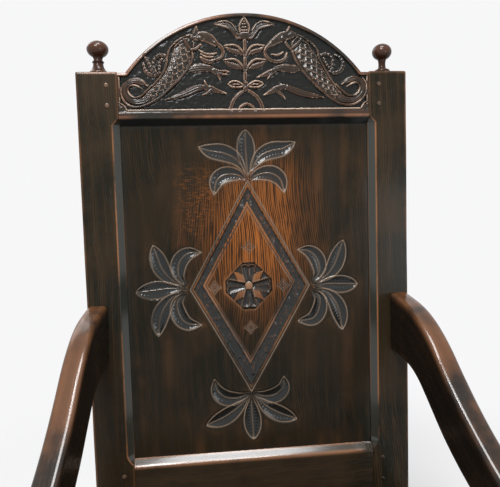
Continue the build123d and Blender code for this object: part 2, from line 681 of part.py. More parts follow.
def seat_board(plan):
    """One seat board, its top arrises rounded along the front and the sides."""
    with BuildPart() as board:
        strip_prism(plan, (SEAT_HEIGHT - BOARD_THICK, SEAT_HEIGHT))
        top = board.faces().sort_by(Axis.Z)[-1].edges()
        side_edges = (top.sort_by(Axis.X)[0], top.sort_by(Axis.X)[-1])
        front_edges = top.filter_by_position(Axis.Y, BOARD_FRONT_Y, BOARD_FRONT_Y)
        fillet([*side_edges, *front_edges], BOARD_ROUND)
        peg_holes(both_sides(BOARD_MOUTHS), BOARD_PEG_LENGTH)
    return board.part


with BuildPart() as seat_board_front:
    add(seat_board(FRONT_BOARD_PLAN))
finish(seat_board_front, "seat_board_front")

with BuildPart() as seat_board_rear:
    add(seat_board(REAR_BOARD_PLAN))
finish(seat_board_rear, "seat_board_rear")


# Finials: turned separately to two patterns, each with a spigot in the top of its post
with BuildPart() as finials:
    for side, stem, ball in (
        (-1, FINIAL_LEFT_STEM, FINIAL_LEFT_BALL),
        (1, FINIAL_RIGHT_STEM, FINIAL_RIGHT_BALL),
    ):
        foot = BACK_CENTRE.from_local_coords((side * REAR_POST_X, BACK_HEIGHT, 0))
        post_top = Plane(foot, x_dir=BACK_CENTRE.x_dir, z_dir=BACK_CENTRE.z_dir)
        stations = FINIAL_SPIGOT + stem + ball_ends(stem[-1][0], ball)
        revolve(turned_outline(stations, post_top, ball[0]), axis=Axis(foot, BACK.y_dir))
finish(finials, "finials")


# Pegs: one node for each kind of joint
with BuildPart() as crest_rail_pegs:
    pegs(both_sides(CREST_MOUTHS), BACK_PEG_LENGTH, PEG_PROUD)
finish(crest_rail_pegs, "crest_rail_pegs")

with BuildPart() as bottom_rail_pegs:
    pegs(both_sides(BACK_RAIL_MOUTHS), BACK_PEG_LENGTH, PEG_PROUD)
finish(bottom_rail_pegs, "bottom_rail_pegs")

with BuildPart() as arm_pegs:
    pegs(both_sides(ARM_MOUTHS), SHORT_PEG_LENGTH, PEG_PROUD)
    pegs(both_sides([ARM_POST_MOUTH]), SHORT_PEG_LENGTH, 0)
finish(arm_pegs, "arm_pegs")

with BuildPart() as seat_rail_pegs:
    pegs(both_sides(SEAT_RAIL_MOUTHS), JOINT_PEG_LENGTH, PEG_PROUD)
finish(seat_rail_pegs, "seat_rail_pegs")

with BuildPart() as stretcher_pegs:
    pegs(both_sides(STRETCHER_MOUTHS), JOINT_PEG_LENGTH, PEG_PROUD)
finish(stretcher_pegs, "stretcher_pegs")

with BuildPart() as seat_board_pegs:
    pegs(both_sides(BOARD_MOUTHS), BOARD_PEG_LENGTH, 0)
finish(seat_board_pegs, "seat_board_pegs")
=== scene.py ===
"""Looks of a joined oak wainscot chair, built round its packed construction.

The construction's nodes come from the frame, in metres: +X is to the right as one faces the chair, -Y is
the chair's front and +Z is up. Sizes below are in millimetres where nothing else is said, as a joiner
gives them, and MM turns them into metres where a mesh is made. On the raked back, x runs across, s runs up
the slope from the seat's level and n stands out of the stiles' front faces.
"""

import json
import logging
import math
from dataclasses import dataclass, replace
from enum import Enum
from typing import Any, Optional, Sequence

import bmesh
import bpy
import numpy as np
from bpy.types import ID, Material, Mesh, Node, NodeSocket, Object
from mathutils import Matrix, Vector

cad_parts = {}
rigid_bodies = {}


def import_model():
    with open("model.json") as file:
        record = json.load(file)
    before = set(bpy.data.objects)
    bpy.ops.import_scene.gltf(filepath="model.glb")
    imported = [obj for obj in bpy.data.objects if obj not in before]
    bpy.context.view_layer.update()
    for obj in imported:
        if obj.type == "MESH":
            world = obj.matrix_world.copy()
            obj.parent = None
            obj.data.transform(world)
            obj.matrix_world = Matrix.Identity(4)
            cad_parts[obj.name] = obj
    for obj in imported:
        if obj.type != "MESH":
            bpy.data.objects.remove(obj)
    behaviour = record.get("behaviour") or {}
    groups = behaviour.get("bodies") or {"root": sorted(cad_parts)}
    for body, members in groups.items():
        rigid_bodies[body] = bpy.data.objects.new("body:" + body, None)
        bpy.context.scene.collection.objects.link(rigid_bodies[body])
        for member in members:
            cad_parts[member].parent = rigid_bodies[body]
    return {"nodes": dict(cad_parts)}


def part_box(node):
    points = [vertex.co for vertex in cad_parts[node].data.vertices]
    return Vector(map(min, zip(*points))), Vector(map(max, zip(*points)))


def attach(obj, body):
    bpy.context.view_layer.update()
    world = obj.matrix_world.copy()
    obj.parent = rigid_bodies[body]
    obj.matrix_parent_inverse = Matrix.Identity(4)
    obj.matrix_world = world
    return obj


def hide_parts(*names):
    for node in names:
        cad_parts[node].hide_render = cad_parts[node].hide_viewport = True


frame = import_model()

log = logging.getLogger("chair")

MM = 0.001
RAKE = math.radians(8.0)
SEAT_LEVEL = 440.0
STROKE_STEP = 0.8
FLAT_ANGLE = math.radians(1.0)
Array = np.ndarray
Point = tuple[float, float]
Triple = tuple[float, float, float]


# ---- Finishes ----


class Grain(Enum):
    """Which way a piece's fibres run."""

    UP = "up"
    ACROSS = "across"
    FORWARD = "forward"
    LENGTH = "length"


class Tree:
    """A node tree, with short calls for the nodes that the finishes use."""

    def __init__(self, name: str, owner: Optional[ID] = None) -> None:
        """Starts an empty tree: in a new material of this name, or in the world that owns it."""
        self.material = owner or bpy.data.materials.new(name)
        self.material.use_nodes = True
        self.nodes = self.material.node_tree.nodes
        self.links = self.material.node_tree.links
        self.nodes.clear()

    def add(self, kind: str, inputs: dict[Any, Any], **settings: Any) -> Node:
        """Adds one node.

        Args:
            kind: the node's type, without its ShaderNode prefix.
            inputs: socket name or number to a value or to another node's output.
            settings: properties of the node itself.

        Returns:
            The node.
        """
        node = self.nodes.new("ShaderNode" + kind)
        for name, value in settings.items():
            setattr(node, name, value)
        for socket, value in inputs.items():
            if isinstance(value, NodeSocket):
                self.links.new(value, node.inputs[socket])
            else:
                node.inputs[socket].default_value = value
        return node

    def math(self, operation: str, *values: Any, clamp: bool = False) -> NodeSocket:
        """The result of one Math node."""
        return self.add("Math", dict(enumerate(values)), operation=operation, use_clamp=clamp).outputs[0]

    def mix(self, factor: Any, first: Any, second: Any) -> NodeSocket:
        """A mix of two colours."""
        return self.add("Mix", {0: factor, 6: first, 7: second}, data_type="RGBA").outputs[2]

    def ramp(self, value: Any, low: float, high: float) -> NodeSocket:
        """The value, stretched so that low gives 0 and high gives 1, with soft ends."""
        inputs = {"Value": value, "From Min": low, "From Max": high}
        return self.add("MapRange", inputs, interpolation_type="SMOOTHSTEP").outputs[0]

    def noise(self, vector: Any, scale: float, detail: float = 2.0, roughness: float = 0.5) -> Any:
        """A noise value between 0 and 1."""
        inputs = {"Vector": vector, "Scale": scale, "Detail": detail, "Roughness": roughness}
        return self.add("TexNoise", inputs).outputs[0]

    def stretched(self, vector: Any, scale: Triple, turn: Triple) -> Any:
        """The vector, turned and then stretched."""
        turned = self.add("Mapping", {"Vector": vector, "Rotation": turn}, vector_type="POINT").outputs[0]
        return self.add("Mapping", {"Vector": turned, "Scale": scale}, vector_type="POINT").outputs[0]

    def mark(self, name: str) -> NodeSocket:
        """The mark of this name that a piece's mesh carries at each point."""
        return self.add("Attribute", {}, attribute_name=name).outputs["Fac"]

    def distance(self, place: Any, centre: Triple, size: Triple, turn: Triple) -> Any:
        """How far a place is from a centre.

        Args:
            place: the place, in metres.
            centre: the centre, in metres.
            size: what counts as 1 along each turned axis, in metres.
            turn: how the axes are turned, in radians.

        Returns:
            The distance in sizes.
        """
        offset = self.add("VectorMath", {0: place, 1: centre}, operation="SUBTRACT").outputs[0]
        scaled = self.stretched(offset, [1.0 / length for length in size], turn)
        return self.add("VectorMath", {0: scaled}, operation="LENGTH").outputs["Value"]


def colour(red: float, green: float, blue: float) -> tuple[float, ...]:
    """An opaque colour."""
    return (red, green, blue, 1.0)


@dataclass(frozen=True)
class OakFinish:
    """Old oak under many coats of wax: grain, pores, patina, dirt and painted shade in the hollows, rubbed
    arrises, painted highlights and, on the rear posts' chamfers, a painted sheen.
    """

    name: str
    grain: Grain = Grain.UP
    dark: tuple[float, ...] = (0.0080, 0.0070, 0.0035, 1.0)
    light: tuple[float, ...] = (0.036, 0.021, 0.0095, 1.0)
    rubbed: tuple[float, ...] = (0.230, 0.095, 0.035, 1.0)
    # Colour of the painted highlights on sharp crests and on pale carved lines.
    rim: tuple[float, ...] = (0.330, 0.235, 0.165, 1.0)
    # Colour of the dirt in pores and hollows; it also paints shade in the hollows, under the crest rail and
    # along the panel's edges, and on the rear posts it is a lighter grey-green that paints a sheen on the
    # chamfers.
    grime_shade_and_sheen: tuple[float, ...] = (0.0075, 0.0095, 0.0090, 1.0)
    glow: tuple[float, ...] = (0.300, 0.098, 0.022, 1.0)
    glow_dark: tuple[float, ...] = (0.042, 0.016, 0.0055, 1.0)
    glow_centre: Optional[Triple] = None
    glow_size: Triple = (0.12, 0.012, 0.165)
    fleck_centre: Optional[Triple] = None
    fleck_size: Triple = (0.055, 0.012, 0.075)
    roughness: float = 0.36
    gloss: float = 0.12
    coat: float = 0.18
    hollow_coat: float = 0.5
    rubbed_coat: float = 0.3
    coat_roughness: float = 0.14
    rake: float = 0.0
    ring_scale: float = 185.0
    line_scale: float = 420.0
    band_scale: float = 90.0
    pore_scale: float = 760.0
    patina_scale: float = 9.0
    dash_scale: float = 620.0

    def material(self) -> Material:
        """The finish as a material."""
        tree = Tree(self.name)
        place = tree.add("TexCoord", {}).outputs["Object"]
        if self.grain is Grain.LENGTH:
            place = tree.add("Attribute", {}, attribute_name="grain").outputs["Vector"]
        turn = {
            Grain.UP: (self.rake, 0.0, 0.0),
            Grain.ACROSS: (0.0, math.pi / 2, 0.0),
            Grain.FORWARD: (math.pi / 2, 0.0, 0.0),
            Grain.LENGTH: (0.0, 0.0, 0.0),
        }[self.grain]
        wander = tree.math("MULTIPLY", tree.noise(place, 5.0, 1.0), 0.03)
        bent = tree.add("VectorMath", {0: place, 1: wander}, operation="ADD").outputs[0]
        fibre = tree.stretched(bent, (1.0, 1.0, 0.03), turn)
        waves = {"Vector": fibre, "Scale": self.ring_scale, "Distortion": 4.0, "Detail Scale": 0.7}
        rings = tree.add("TexWave", waves, wave_type="BANDS", bands_direction="DIAGONAL").outputs["Fac"]
        fine = tree.noise(fibre, self.line_scale, 2.0, 0.55)
        lines = tree.ramp(tree.math("MULTIPLY_ADD", rings, 0.28, fine), 0.50, 0.76)
        bands = tree.ramp(tree.noise(fibre, self.band_scale), 0.34, 0.66)
        long_fibre = tree.stretched(bent, (1.0, 1.0, 0.05), turn)
        pore = tree.ramp(tree.noise(long_fibre, self.pore_scale, 1.0), 0.40, 0.28)
        patina = tree.noise(place, self.patina_scale, 4.0, 0.62)
        recess, worn, bright = (tree.mark(name) for name in ("recess", "worn", "bright"))

        wood = tree.mix(tree.math("MULTIPLY", lines, bands), self.dark, self.light)
        wood = tree.mix(tree.math("MULTIPLY", tree.ramp(patina, 0.36, 0.62), 0.55), wood, self.light)
        if self.glow_centre is not None:
            warm = tree.mix(lines, self.glow_dark, self.glow)
            wood = tree.mix(self.glow_factor(tree, place, turn), wood, warm)
        if self.fleck_centre is not None:
            wood = tree.mix(self.fleck_factor(tree, place, turn), wood, self.glow)
        wood = tree.mix(tree.math("MULTIPLY", pore, 0.65), wood, self.grime_shade_and_sheen)
        # Hollows take the grime colour: dirt and painted shade, and on the rear posts' chamfers a painted
        # sheen.
        wood = tree.mix(tree.math("MULTIPLY", recess, 0.95, clamp=True), wood, self.grime_shade_and_sheen)
        scuffed = tree.math("MULTIPLY", worn, tree.ramp(patina, 0.34, 0.60), clamp=True)
        wood = tree.mix(scuffed, wood, self.rubbed)
        # Painted highlight: sharp crests and pale carved lines take the rim colour.
        painted_gleam = tree.math("MULTIPLY", bright, tree.ramp(patina, 0.15, 0.55), clamp=True)
        wood = tree.mix(painted_gleam, wood, self.rim)

        rough = tree.math("MULTIPLY_ADD", patina, 0.24, self.roughness - 0.12)
        rough = tree.math("MULTIPLY_ADD", pore, 0.2, rough, clamp=True)
        height = tree.math("MULTIPLY_ADD", pore, -0.55, tree.math("MULTIPLY", lines, 0.3))
        height = tree.math("MULTIPLY_ADD", patina, 1.8, height)
        bump = tree.add("Bump", {"Strength": 0.35, "Distance": 0.0006, "Height": height})
        coat = tree.math("MULTIPLY_ADD", recess, self.hollow_coat, self.coat)
        surface = {
            "Base Color": wood,
            "Roughness": rough,
            "Normal": bump.outputs[0],
            "Specular IOR Level": self.gloss,
            "Coat Weight": tree.math("MULTIPLY_ADD", worn, self.rubbed_coat, coat, clamp=True),
            "Coat Roughness": self.coat_roughness,
        }
        tree.add("OutputMaterial", {"Surface": tree.add("BsdfPrincipled", surface).outputs[0]})
        return tree.material

    def glow_factor(self, tree: Tree, place: Any, turn: Triple) -> Any:
        """How much of the warm colour shows: most at the centre, none a size away, torn along the grain.

        Args:
            tree: the finish's node tree.
            place: the place, in metres.
            turn: how the fibres are turned, in radians.

        Returns:
            The warm colour's share.
        """
        ragged = tree.noise(tree.stretched(place, (1.0, 1.0, 0.25), turn), 22.0, 4.0, 0.65)
        far = tree.math("SUBTRACT", tree.distance(place, self.glow_centre, self.glow_size, turn), 0.45)
        return tree.ramp(tree.math("MULTIPLY_ADD", ragged, 0.9, far), 1.08, -0.05)

    def fleck_factor(self, tree: Tree, place: Any, turn: Triple) -> Any:
        """Where the rays of quarter-sawn wood show: short bright dashes across the grain, in one cloud.

        Args:
            tree: the finish's node tree.
            place: the place, in metres.
            turn: how the fibres are turned, in radians.

        Returns:
            The bright colour's share.
        """
        dashes = tree.noise(tree.stretched(place, (0.2, 1.0, 1.0), turn), self.dash_scale, 0.0)
        far = tree.distance(place, self.fleck_centre, self.fleck_size, turn)
        cloud = tree.ramp(tree.math("MULTIPLY_ADD", tree.noise(place, 40.0), 1.2, far), 1.6, 0.7)
        return tree.math("MULTIPLY", tree.ramp(dashes, 0.54, 0.64), tree.math("MULTIPLY", cloud, 0.24))


# ---- Surroundings ----


@dataclass(frozen=True)
class Lamp:
    """One square soft lamp: where it hangs, what it faces, its side in metres and its power in watts."""

    name: str
    place: Triple
    target: Triple
    size: float
    power: float

    def build(self) -> None:
        """Hangs the lamp."""
        light = bpy.data.lights.new(self.name, "AREA")
        light.energy, light.size = self.power, self.size
        holder = bpy.data.objects.new(self.name, light)
        holder.location = self.place
        facing = Vector(self.target) - Vector(self.place)
        holder.rotation_euler = facing.to_track_quat("-Z", "Y").to_euler()
        bpy.context.collection.objects.link(holder)


@dataclass
class Studio:
    """A pale floor, a pale surround and soft lamps."""

    floor_size: float = 60.0
    floor_tone: float = 0.88
    surround_tone: float = 0.93
    ambient: float = 0.30
    fade: Point = (0.65, 1.6)
    lamps: tuple[Lamp, ...] = (
        Lamp("key_lamp", (-0.55, -1.15, 2.6), (0.0, 0.2, 0.85), 0.7, 38.0),
        Lamp("ceiling_lamp", (0.1, -0.12, 3.0), (0.0, -0.05, 0.5), 0.75, 34.0),
        Lamp("fill_lamp", (1.15, -1.6, 1.0), (0.15, 0.15, 0.85), 0.6, 4.6),
        Lamp("small_lamp", (-0.35, -0.45, 2.9), (0.0, 0.1, 0.9), 0.2, 9.0),
        Lamp("back_lamp", (-1.2, 1.6, 2.3), (0.0, 0.1, 0.9), 1.2, 9.0),
    )

    def build(self) -> None:
        """Makes the floor, the surround and the lamps."""
        self.make_floor()
        self.make_surround()
        for lamp in self.lamps:
            lamp.build()

    def seen_rays(self, tree: Tree) -> Any:
        """1 for rays that the eye sees, straight, mirrored or through glass, and 0 for light."""
        path = tree.add("LightPath", {}).outputs
        mirrored = tree.math("MAXIMUM", path["Is Glossy Ray"], path["Is Transmission Ray"])
        return tree.math("MAXIMUM", path["Is Camera Ray"], mirrored)

    def make_floor(self) -> None:
        """The floor: it keeps the chair's shadow, and far off it fades into the surround."""
        bpy.ops.mesh.primitive_plane_add(size=self.floor_size)
        floor = bpy.context.object
        floor.name = "floor"
        tree = Tree("pale_floor")
        near, surround = self.floor_tone, self.surround_tone
        shader = tree.add("BsdfPrincipled", {"Base Color": colour(near, near, near * 1.01), "Roughness": 0.9})
        far_off = tree.add("Emission", {"Color": colour(surround, surround, surround * 1.01)})
        place = tree.add("TexCoord", {}).outputs["Object"]
        away = tree.add("VectorMath", {0: place}, operation="LENGTH").outputs["Value"]
        share = tree.math("MULTIPLY", tree.ramp(away, *self.fade), self.seen_rays(tree))
        mixed = tree.add("MixShader", {0: share, 1: shader.outputs[0], 2: far_off.outputs[0]})
        tree.add("OutputMaterial", {"Surface": mixed.outputs[0]})
        floor.data.materials.append(tree.material)

    def make_surround(self) -> None:
        """The world: pale to the eye and in reflections, dimmer as a light."""
        world = bpy.data.worlds.new("surround")
        bpy.context.scene.world = world
        tree = Tree("surround", world)
        tone = self.surround_tone
        seen = tree.add("Background", {"Color": colour(tone, tone, tone * 1.01)})
        light = tree.add("Background", {"Color": colour(1.0, 1.0, 1.0), "Strength": self.ambient})
        mixed = tree.add("MixShader", {0: self.seen_rays(tree), 1: light.outputs[0], 2: seen.outputs[0]})
        tree.add("OutputWorld", {"Surface": mixed.outputs[0]})


@dataclass
class ViewPoint:
    """The camera, a little left of the middle and above the arms, close to the back."""

    place: Triple = (-0.0809, -0.5860, 1.0379)
    yaw: float = math.radians(-5.78)
    pitch: float = math.radians(12.13)
    roll: float = math.radians(-0.81)
    lens: float = 38.16

    def build(self) -> None:
        """Makes the camera and gives it to the scene."""
        flat = math.cos(self.pitch)
        forward = Vector((-math.sin(self.yaw) * flat, math.cos(self.yaw) * flat, -math.sin(self.pitch)))
        level = Vector((math.cos(self.yaw), math.sin(self.yaw), 0.0))
        upright = level.cross(forward)
        right = level * math.cos(self.roll) + upright * math.sin(self.roll)
        up = upright * math.cos(self.roll) - level * math.sin(self.roll)
        data = bpy.data.cameras.new("view_point")
        data.lens = self.lens
        data.sensor_fit = "HORIZONTAL"
        camera = bpy.data.objects.new("view_point", data)
        turn = Matrix((right, up, -forward)).transposed().to_4x4()
        camera.matrix_world = Matrix.Translation(self.place) @ turn
        bpy.context.collection.objects.link(camera)
        bpy.context.scene.camera = camera


# ---- Working in edit mode ----


class Pick(Enum):
    """What edit mode selects."""

    VERTS = (True, False, False)
    EDGES = (False, True, False)
    FACES = (False, False, True)


def deselect_all() -> None:
    """Leaves no piece selected."""
    for piece in list(bpy.context.selected_objects):
        piece.select_set(False)


def take_up(piece: Object) -> None:
    """Makes this piece the only selected one and the active one."""
    deselect_all()
    piece.select_set(True)
    bpy.context.view_layer.objects.active = piece


def enter_edit(pick: Pick, action: str) -> None:
    """Opens the active piece in edit mode, with all or none of it selected."""
    bpy.ops.object.mode_set(mode="EDIT")
    bpy.context.tool_settings.mesh_select_mode = pick.value
    bpy.ops.mesh.select_all(action=action)


def leave_edit() -> None:
    """Closes edit mode."""
    bpy.ops.object.mode_set(mode="OBJECT")


def smooth_shading(degrees: float) -> None:
    """Shades the active piece smooth, but for edges sharper than this."""
    bpy.ops.object.shade_smooth_by_angle(angle=math.radians(degrees))


def places_of(mesh: Mesh) -> Array:
    """A mesh's vertices as rows of metres."""
    places = np.empty(len(mesh.vertices) * 3)
    mesh.vertices.foreach_get("co", places)
    return places.reshape(-1, 3)


def set_places(mesh: Mesh, places: Array) -> None:
    """Moves all of a mesh's vertices."""
    mesh.vertices.foreach_set("co", np.ascontiguousarray(places, dtype=np.float32).ravel())
    mesh.update()


def set_values(mesh: Mesh, name: str, values: Array) -> None:
    """Stores one number for each of a mesh's first vertices, and 0 for the rest."""
    full = np.zeros(len(mesh.vertices), dtype=np.float32)
    full[: len(values)] = values
    mesh.attributes.new(name, "FLOAT", "POINT").data.foreach_set("value", full)


def set_vectors(mesh: Mesh, name: str, values: Array) -> None:
    """Stores a vector for each of a mesh's vertices."""
    data = mesh.attributes.new(name, "FLOAT_VECTOR", "POINT").data
    data.foreach_set("vector", np.ascontiguousarray(values, dtype=np.float32).ravel())


def select_verts(piece: Object, chosen: Array) -> None:
    """Selects these vertices, and what lies between them, on a piece that is in edit mode."""
    net = bmesh.from_edit_mesh(piece.data)
    for vertex, wanted in zip(net.verts, chosen):
        vertex.select = bool(wanted)
    net.select_flush(True)
    net.select_flush(False)
    bmesh.update_edit_mesh(piece.data)


def smooth(low: float, high: float, value: Array) -> Array:
    """Rises softly from 0 at low to 1 at high."""
    share = np.clip((value - low) / (high - low), 0.0, 1.0)
    return share * share * (3.0 - 2.0 * share)


def soft_line(distance: Array, width: float) -> Array:
    """1 on a line, fading to 0 within a few widths of it."""
    return np.exp(-((distance / width) ** 2))


def value_noise(x: Array, y: Array, size: float, seed: int) -> Array:
    """Soft noise between -1 and 1.

    Args:
        x: places across.
        y: places along.
        size: how far apart its bumps are.
        seed: which pattern.

    Returns:
        One value for each place.
    """
    count = 97
    lattice = np.random.default_rng(seed).uniform(-1.0, 1.0, (count, count))
    across, along = np.asarray(x) / size + 500.0, np.asarray(y) / size + 500.0
    column, row = np.floor(across).astype(int), np.floor(along).astype(int)
    u, v = smooth(0.0, 1.0, across - column), smooth(0.0, 1.0, along - row)
    left, right, low, high = column % count, (column + 1) % count, row % count, (row + 1) % count
    below = lattice[left, low] * (1 - u) + lattice[right, low] * u
    above = lattice[left, high] * (1 - u) + lattice[right, high] * u
    return below * (1 - v) + above * v


def sided(name: str, side: int) -> str:
    """The name of the left piece for side -1 and of the right one for side 1."""
    return name + ("_left" if side < 0 else "_right")


def bearings(count: int) -> Array:
    """This many angles, evenly round a circle."""
    return np.arange(count) / count * 2 * math.pi


def finish_piece(
    piece: Object, name: str, finish: Material, nodes: Sequence[str]
) -> None:
    """Dresses a finished piece, hangs it on the root body and hides the construction's nodes that it stands
    for.

    Args:
        piece: the piece.
        name: its name.
        finish: its material.
        nodes: the construction's nodes that it replaces.
    """
    piece.name = name
    piece.data.name = name
    piece.data.materials.clear()
    piece.data.materials.append(finish)
    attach(piece, "root")
    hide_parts(*nodes)
    log.info("%s: %d faces", name, len(piece.data.polygons))


class BackPlane:
    """Places on the raked back: x across, s up the slope, n out of the stiles' front faces."""

    def __init__(self) -> None:
        """Reads from the rear post where the plane meets the seat's level."""
        self.foot_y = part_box("rear_post_right")[0][1] / MM

    def world(self, x: Any, s: Any, n: Any) -> Array:
        """Turns places on the back into the chair's own.

        Args:
            x: across.
            s: up the slope.
            n: out of the stiles' front faces.

        Returns:
            Rows of x, y and z, in metres.
        """
        y = self.foot_y + s * math.sin(RAKE) - n * math.cos(RAKE)
        z = SEAT_LEVEL + s * math.cos(RAKE) + n * math.sin(RAKE)
        return np.stack(np.broadcast_arrays(x, y, z), axis=-1) * MM


class Loft:
    """A piece drawn out ring by ring: one circle of points, extruded, with every ring put in place."""

    def __init__(self) -> None:
        """Starts with no rings."""
        self.rings: list[Array] = []
        self.rubbed: list[Array] = []
        self.painted_sheen: list[Array] = []

    def ring(self, places: Array, rubbed: Array, painted_sheen: Optional[Array] = None) -> None:
        """Adds a ring.

        Args:
            places: its points, in metres.
            rubbed: how rubbed each one is.
            painted_sheen: how much painted sheen each one has, or none for a ring without it.
        """
        self.rings.append(places)
        self.rubbed.append(rubbed)
        self.painted_sheen.append(np.zeros(len(rubbed)) if painted_sheen is None else painted_sheen)

    def build(self, smooth_angle: float) -> Object:
        """Makes the piece.

        Args:
            smooth_angle: edges sharper than this many degrees stay sharp.

        Returns:
            The closed piece, with its rubbed arrises in the attribute worn.
        """
        sides = len(self.rings[0])
        deselect_all()
        bpy.ops.mesh.primitive_circle_add(vertices=sides, fill_type="NOTHING")
        piece = bpy.context.object
        enter_edit(Pick.VERTS, "SELECT")
        for _ in self.rings[1:]:
            bpy.ops.mesh.extrude_region_move(TRANSFORM_OT_translate={"value": (0.0, 0.0, 1.0)})
        bpy.ops.mesh.edge_face_add()
        bpy.ops.mesh.select_all(action="DESELECT")
        select_verts(piece, np.arange(sides * len(self.rings)) < sides)
        bpy.ops.mesh.edge_face_add()
        leave_edit()
        set_places(piece.data, np.concatenate(self.rings))
        set_values(piece.data, "worn", np.concatenate(self.rubbed))
        # The painted sheen is stored in the attribute recess.
        set_values(piece.data, "recess", np.concatenate(self.painted_sheen))
        enter_edit(Pick.VERTS, "SELECT")
        bpy.ops.mesh.normals_make_consistent(inside=False)
        leave_edit()
        smooth_shading(smooth_angle)
        return piece


CORNER_STEPS = 3
CORNER_POINTS = CORNER_STEPS + 3


def soft_ring(corners: Sequence[Point], radii: Sequence[float], margin: float = 3.5) -> tuple[Array, Array]:
    """Points round a section whose corners are rubbed round.

    Args:
        corners: the section's corners in order.
        radii: how far each corner is rounded along its two sides.
        margin: how far beyond the rounding a side has one more point.

    Returns:
        The points, and 1 for a rounded corner or 0 for a flat.
    """
    ring, rubbed = [], []
    corner_list = [np.array(corner) for corner in corners]
    for index, (corner, radius) in enumerate(zip(corner_list, radii)):
        before = corner_list[index - 1] - corner
        after = corner_list[(index + 1) % len(corner_list)] - corner
        sides = []
        for side in (before, after):
            length = np.linalg.norm(side)
            reach = min(radius, length * 0.42)
            edge = corner + side / length * reach
            sides.append((edge, corner + side / length * min(reach + margin, length * 0.48)))
        ring.append(sides[0][1])
        rubbed.append(0.0)
        for step in range(CORNER_STEPS + 1):
            t = step / CORNER_STEPS
            ring.append((1 - t) ** 2 * sides[0][0] + 2 * t * (1 - t) * corner + t * t * sides[1][0])
            rubbed.append(1.0)
        ring.append(sides[1][1])
        rubbed.append(0.0)
    return np.array(ring), np.array(rubbed)


# ---- Carving ----


class Profile(Enum):
    """How a carved stroke is shaped across its width."""

    ROUND = "round"
    SCALED = "scaled"
    CHANNELLED = "channelled"
    BEADED = "beaded"
    HATCHED = "hatched"
    LEAF = "leaf"
    GROOVE = "groove"


@dataclass(frozen=True)
class Stroke:
    """One carved stroke: a soft curve through points, with a half width at each of them."""

    points: tuple[Point, ...]
    widths: tuple[float, ...]
    crown: float = -0.9
    edge: float = -2.4
    profile: Profile = Profile.ROUND
    pitch: float = 6.0

    def on_side(self, side: int) -> "Stroke":
        """The stroke itself for side 1, and its mirror image across the middle for side -1."""
        return replace(self, points=tuple((side * x, s) for x, s in self.points))

    def spine(self) -> tuple[Array, Array, Array, Array]:
        """Walks along the stroke.

        Returns:
            Centres, half widths, directions and distances along, about a STROKE_STEP apart.
        """
        nodes = np.array([(*point, width) for point, width in zip(self.points, self.widths)])
        padded = np.vstack([2 * nodes[0] - nodes[1], nodes, 2 * nodes[-1] - nodes[-2]])
        parts = []
        for before, start, end, after in zip(padded, padded[1:], padded[2:], padded[3:]):
            count = max(2, int(np.linalg.norm(end[:2] - start[:2]) / STROKE_STEP))
            t = np.linspace(0.0, 1.0, count, endpoint=False)[:, None]
            bend = 2 * before - 5 * start + 4 * end - after
            twist = 3 * start - before - 3 * end + after
            parts.append(0.5 * (2 * start + (end - before) * t + bend * t**2 + twist * t**3))
        walk = np.vstack([*parts, nodes[-1:]])
        direction = np.gradient(walk[:, :2], axis=0)
        direction /= np.linalg.norm(direction, axis=1, keepdims=True) + 1e-9
        steps = np.linalg.norm(np.diff(walk[:, :2], axis=0), axis=1)
        return walk[:, :2], np.maximum(walk[:, 2], 0.25), direction, np.concatenate([[0.0], np.cumsum(steps)])

    def locate(self, x: Array, s: Array) -> tuple[Array, Array, Array, Array]:
        """Where places lie with regard to the stroke.

        Args:
            x: places across.
            s: places up the slope.

        Returns:
            The share of the half width (1 at the outline), the same with a sign for its side, the
            distance along and the half width there.
        """
        centres, widths, directions, along = self.spine()
        share = np.full(len(x), 1e6)
        best = np.zeros(len(x), dtype=int)
        for index, (centre, width) in enumerate(zip(centres, widths)):
            reach = np.hypot(x - centre[0], s - centre[1]) / width
            closer = reach < share
            share[closer] = reach[closer]
            best[closer] = index
        offset_x, offset_s = x - centres[best, 0], s - centres[best, 1]
        heading = directions[best]
        sideways = heading[:, 0] * offset_s - heading[:, 1] * offset_x
        forward = heading[:, 0] * offset_x + heading[:, 1] * offset_s
        return share, np.clip(sideways / widths[best], -1.0, 1.0), along[best] + forward, widths[best]

    def height(self, share: Array, side: Array, along: Array, width: Array) -> Array:
        """The carved surface inside the outline.

        Args:
            share: the share of the half width.
            side: the same with a sign.
            along: the distance along the stroke.
            width: the half width.

        Returns:
            Heights from the stiles' front faces.
        """
        inside = np.clip(share, 0.0, 1.0)
        swell = np.sqrt(1.0 - inside**2)
        surface = self.edge + (self.crown - self.edge) * swell
        if self.profile is Profile.CHANNELLED:
            lines = np.maximum(np.round(width / 1.55), 1.0)
            surface = surface - 0.75 * (0.5 - 0.5 * np.cos(side * math.pi * lines)) * smooth(1.0, 0.8, inside)
        elif self.profile is Profile.BEADED:
            surface = surface - 1.3 * (0.5 + 0.5 * np.cos(2 * math.pi * along / self.pitch)) * swell
        elif self.profile is Profile.HATCHED:
            surface = surface - 0.7 * (0.5 + 0.5 * np.cos(2 * math.pi * (along + 1.5 * side) / self.pitch))
        elif self.profile is Profile.SCALED:
            surface = surface + self.scales(side, along) * smooth(1.0, 0.85, inside)
        return surface

    def scales(self, side: Array, along: Array) -> Array:
        """Overlapping scales: each one swells to a round lip and drops to the next.

        Args:
            side: the signed share of the half width.
            along: the distance along the stroke.

        Returns:
            What the scales add to the height.
        """
        row = np.floor(along / self.pitch)
        result = np.full(len(side), -1.9)
        for back in (0, 1):
            number = row - back
            across = side * 1.35 + 0.5 * (number % 2)
            cell = (across - np.floor(across)) * 2.0 - 1.0
            reach = (along - number * self.pitch) / (self.pitch * 1.5)
            lip = 0.25 + 0.7 * np.sqrt(np.clip(1.0 - cell**2, 0.0, 1.0))
            swell = -1.5 + 2.1 * np.clip(reach / lip, 0.0, 1.0) ** 2 - 0.5 * cell**2
            result = np.where((reach < lip) & (number >= 0), np.maximum(result, swell), result)
        return result


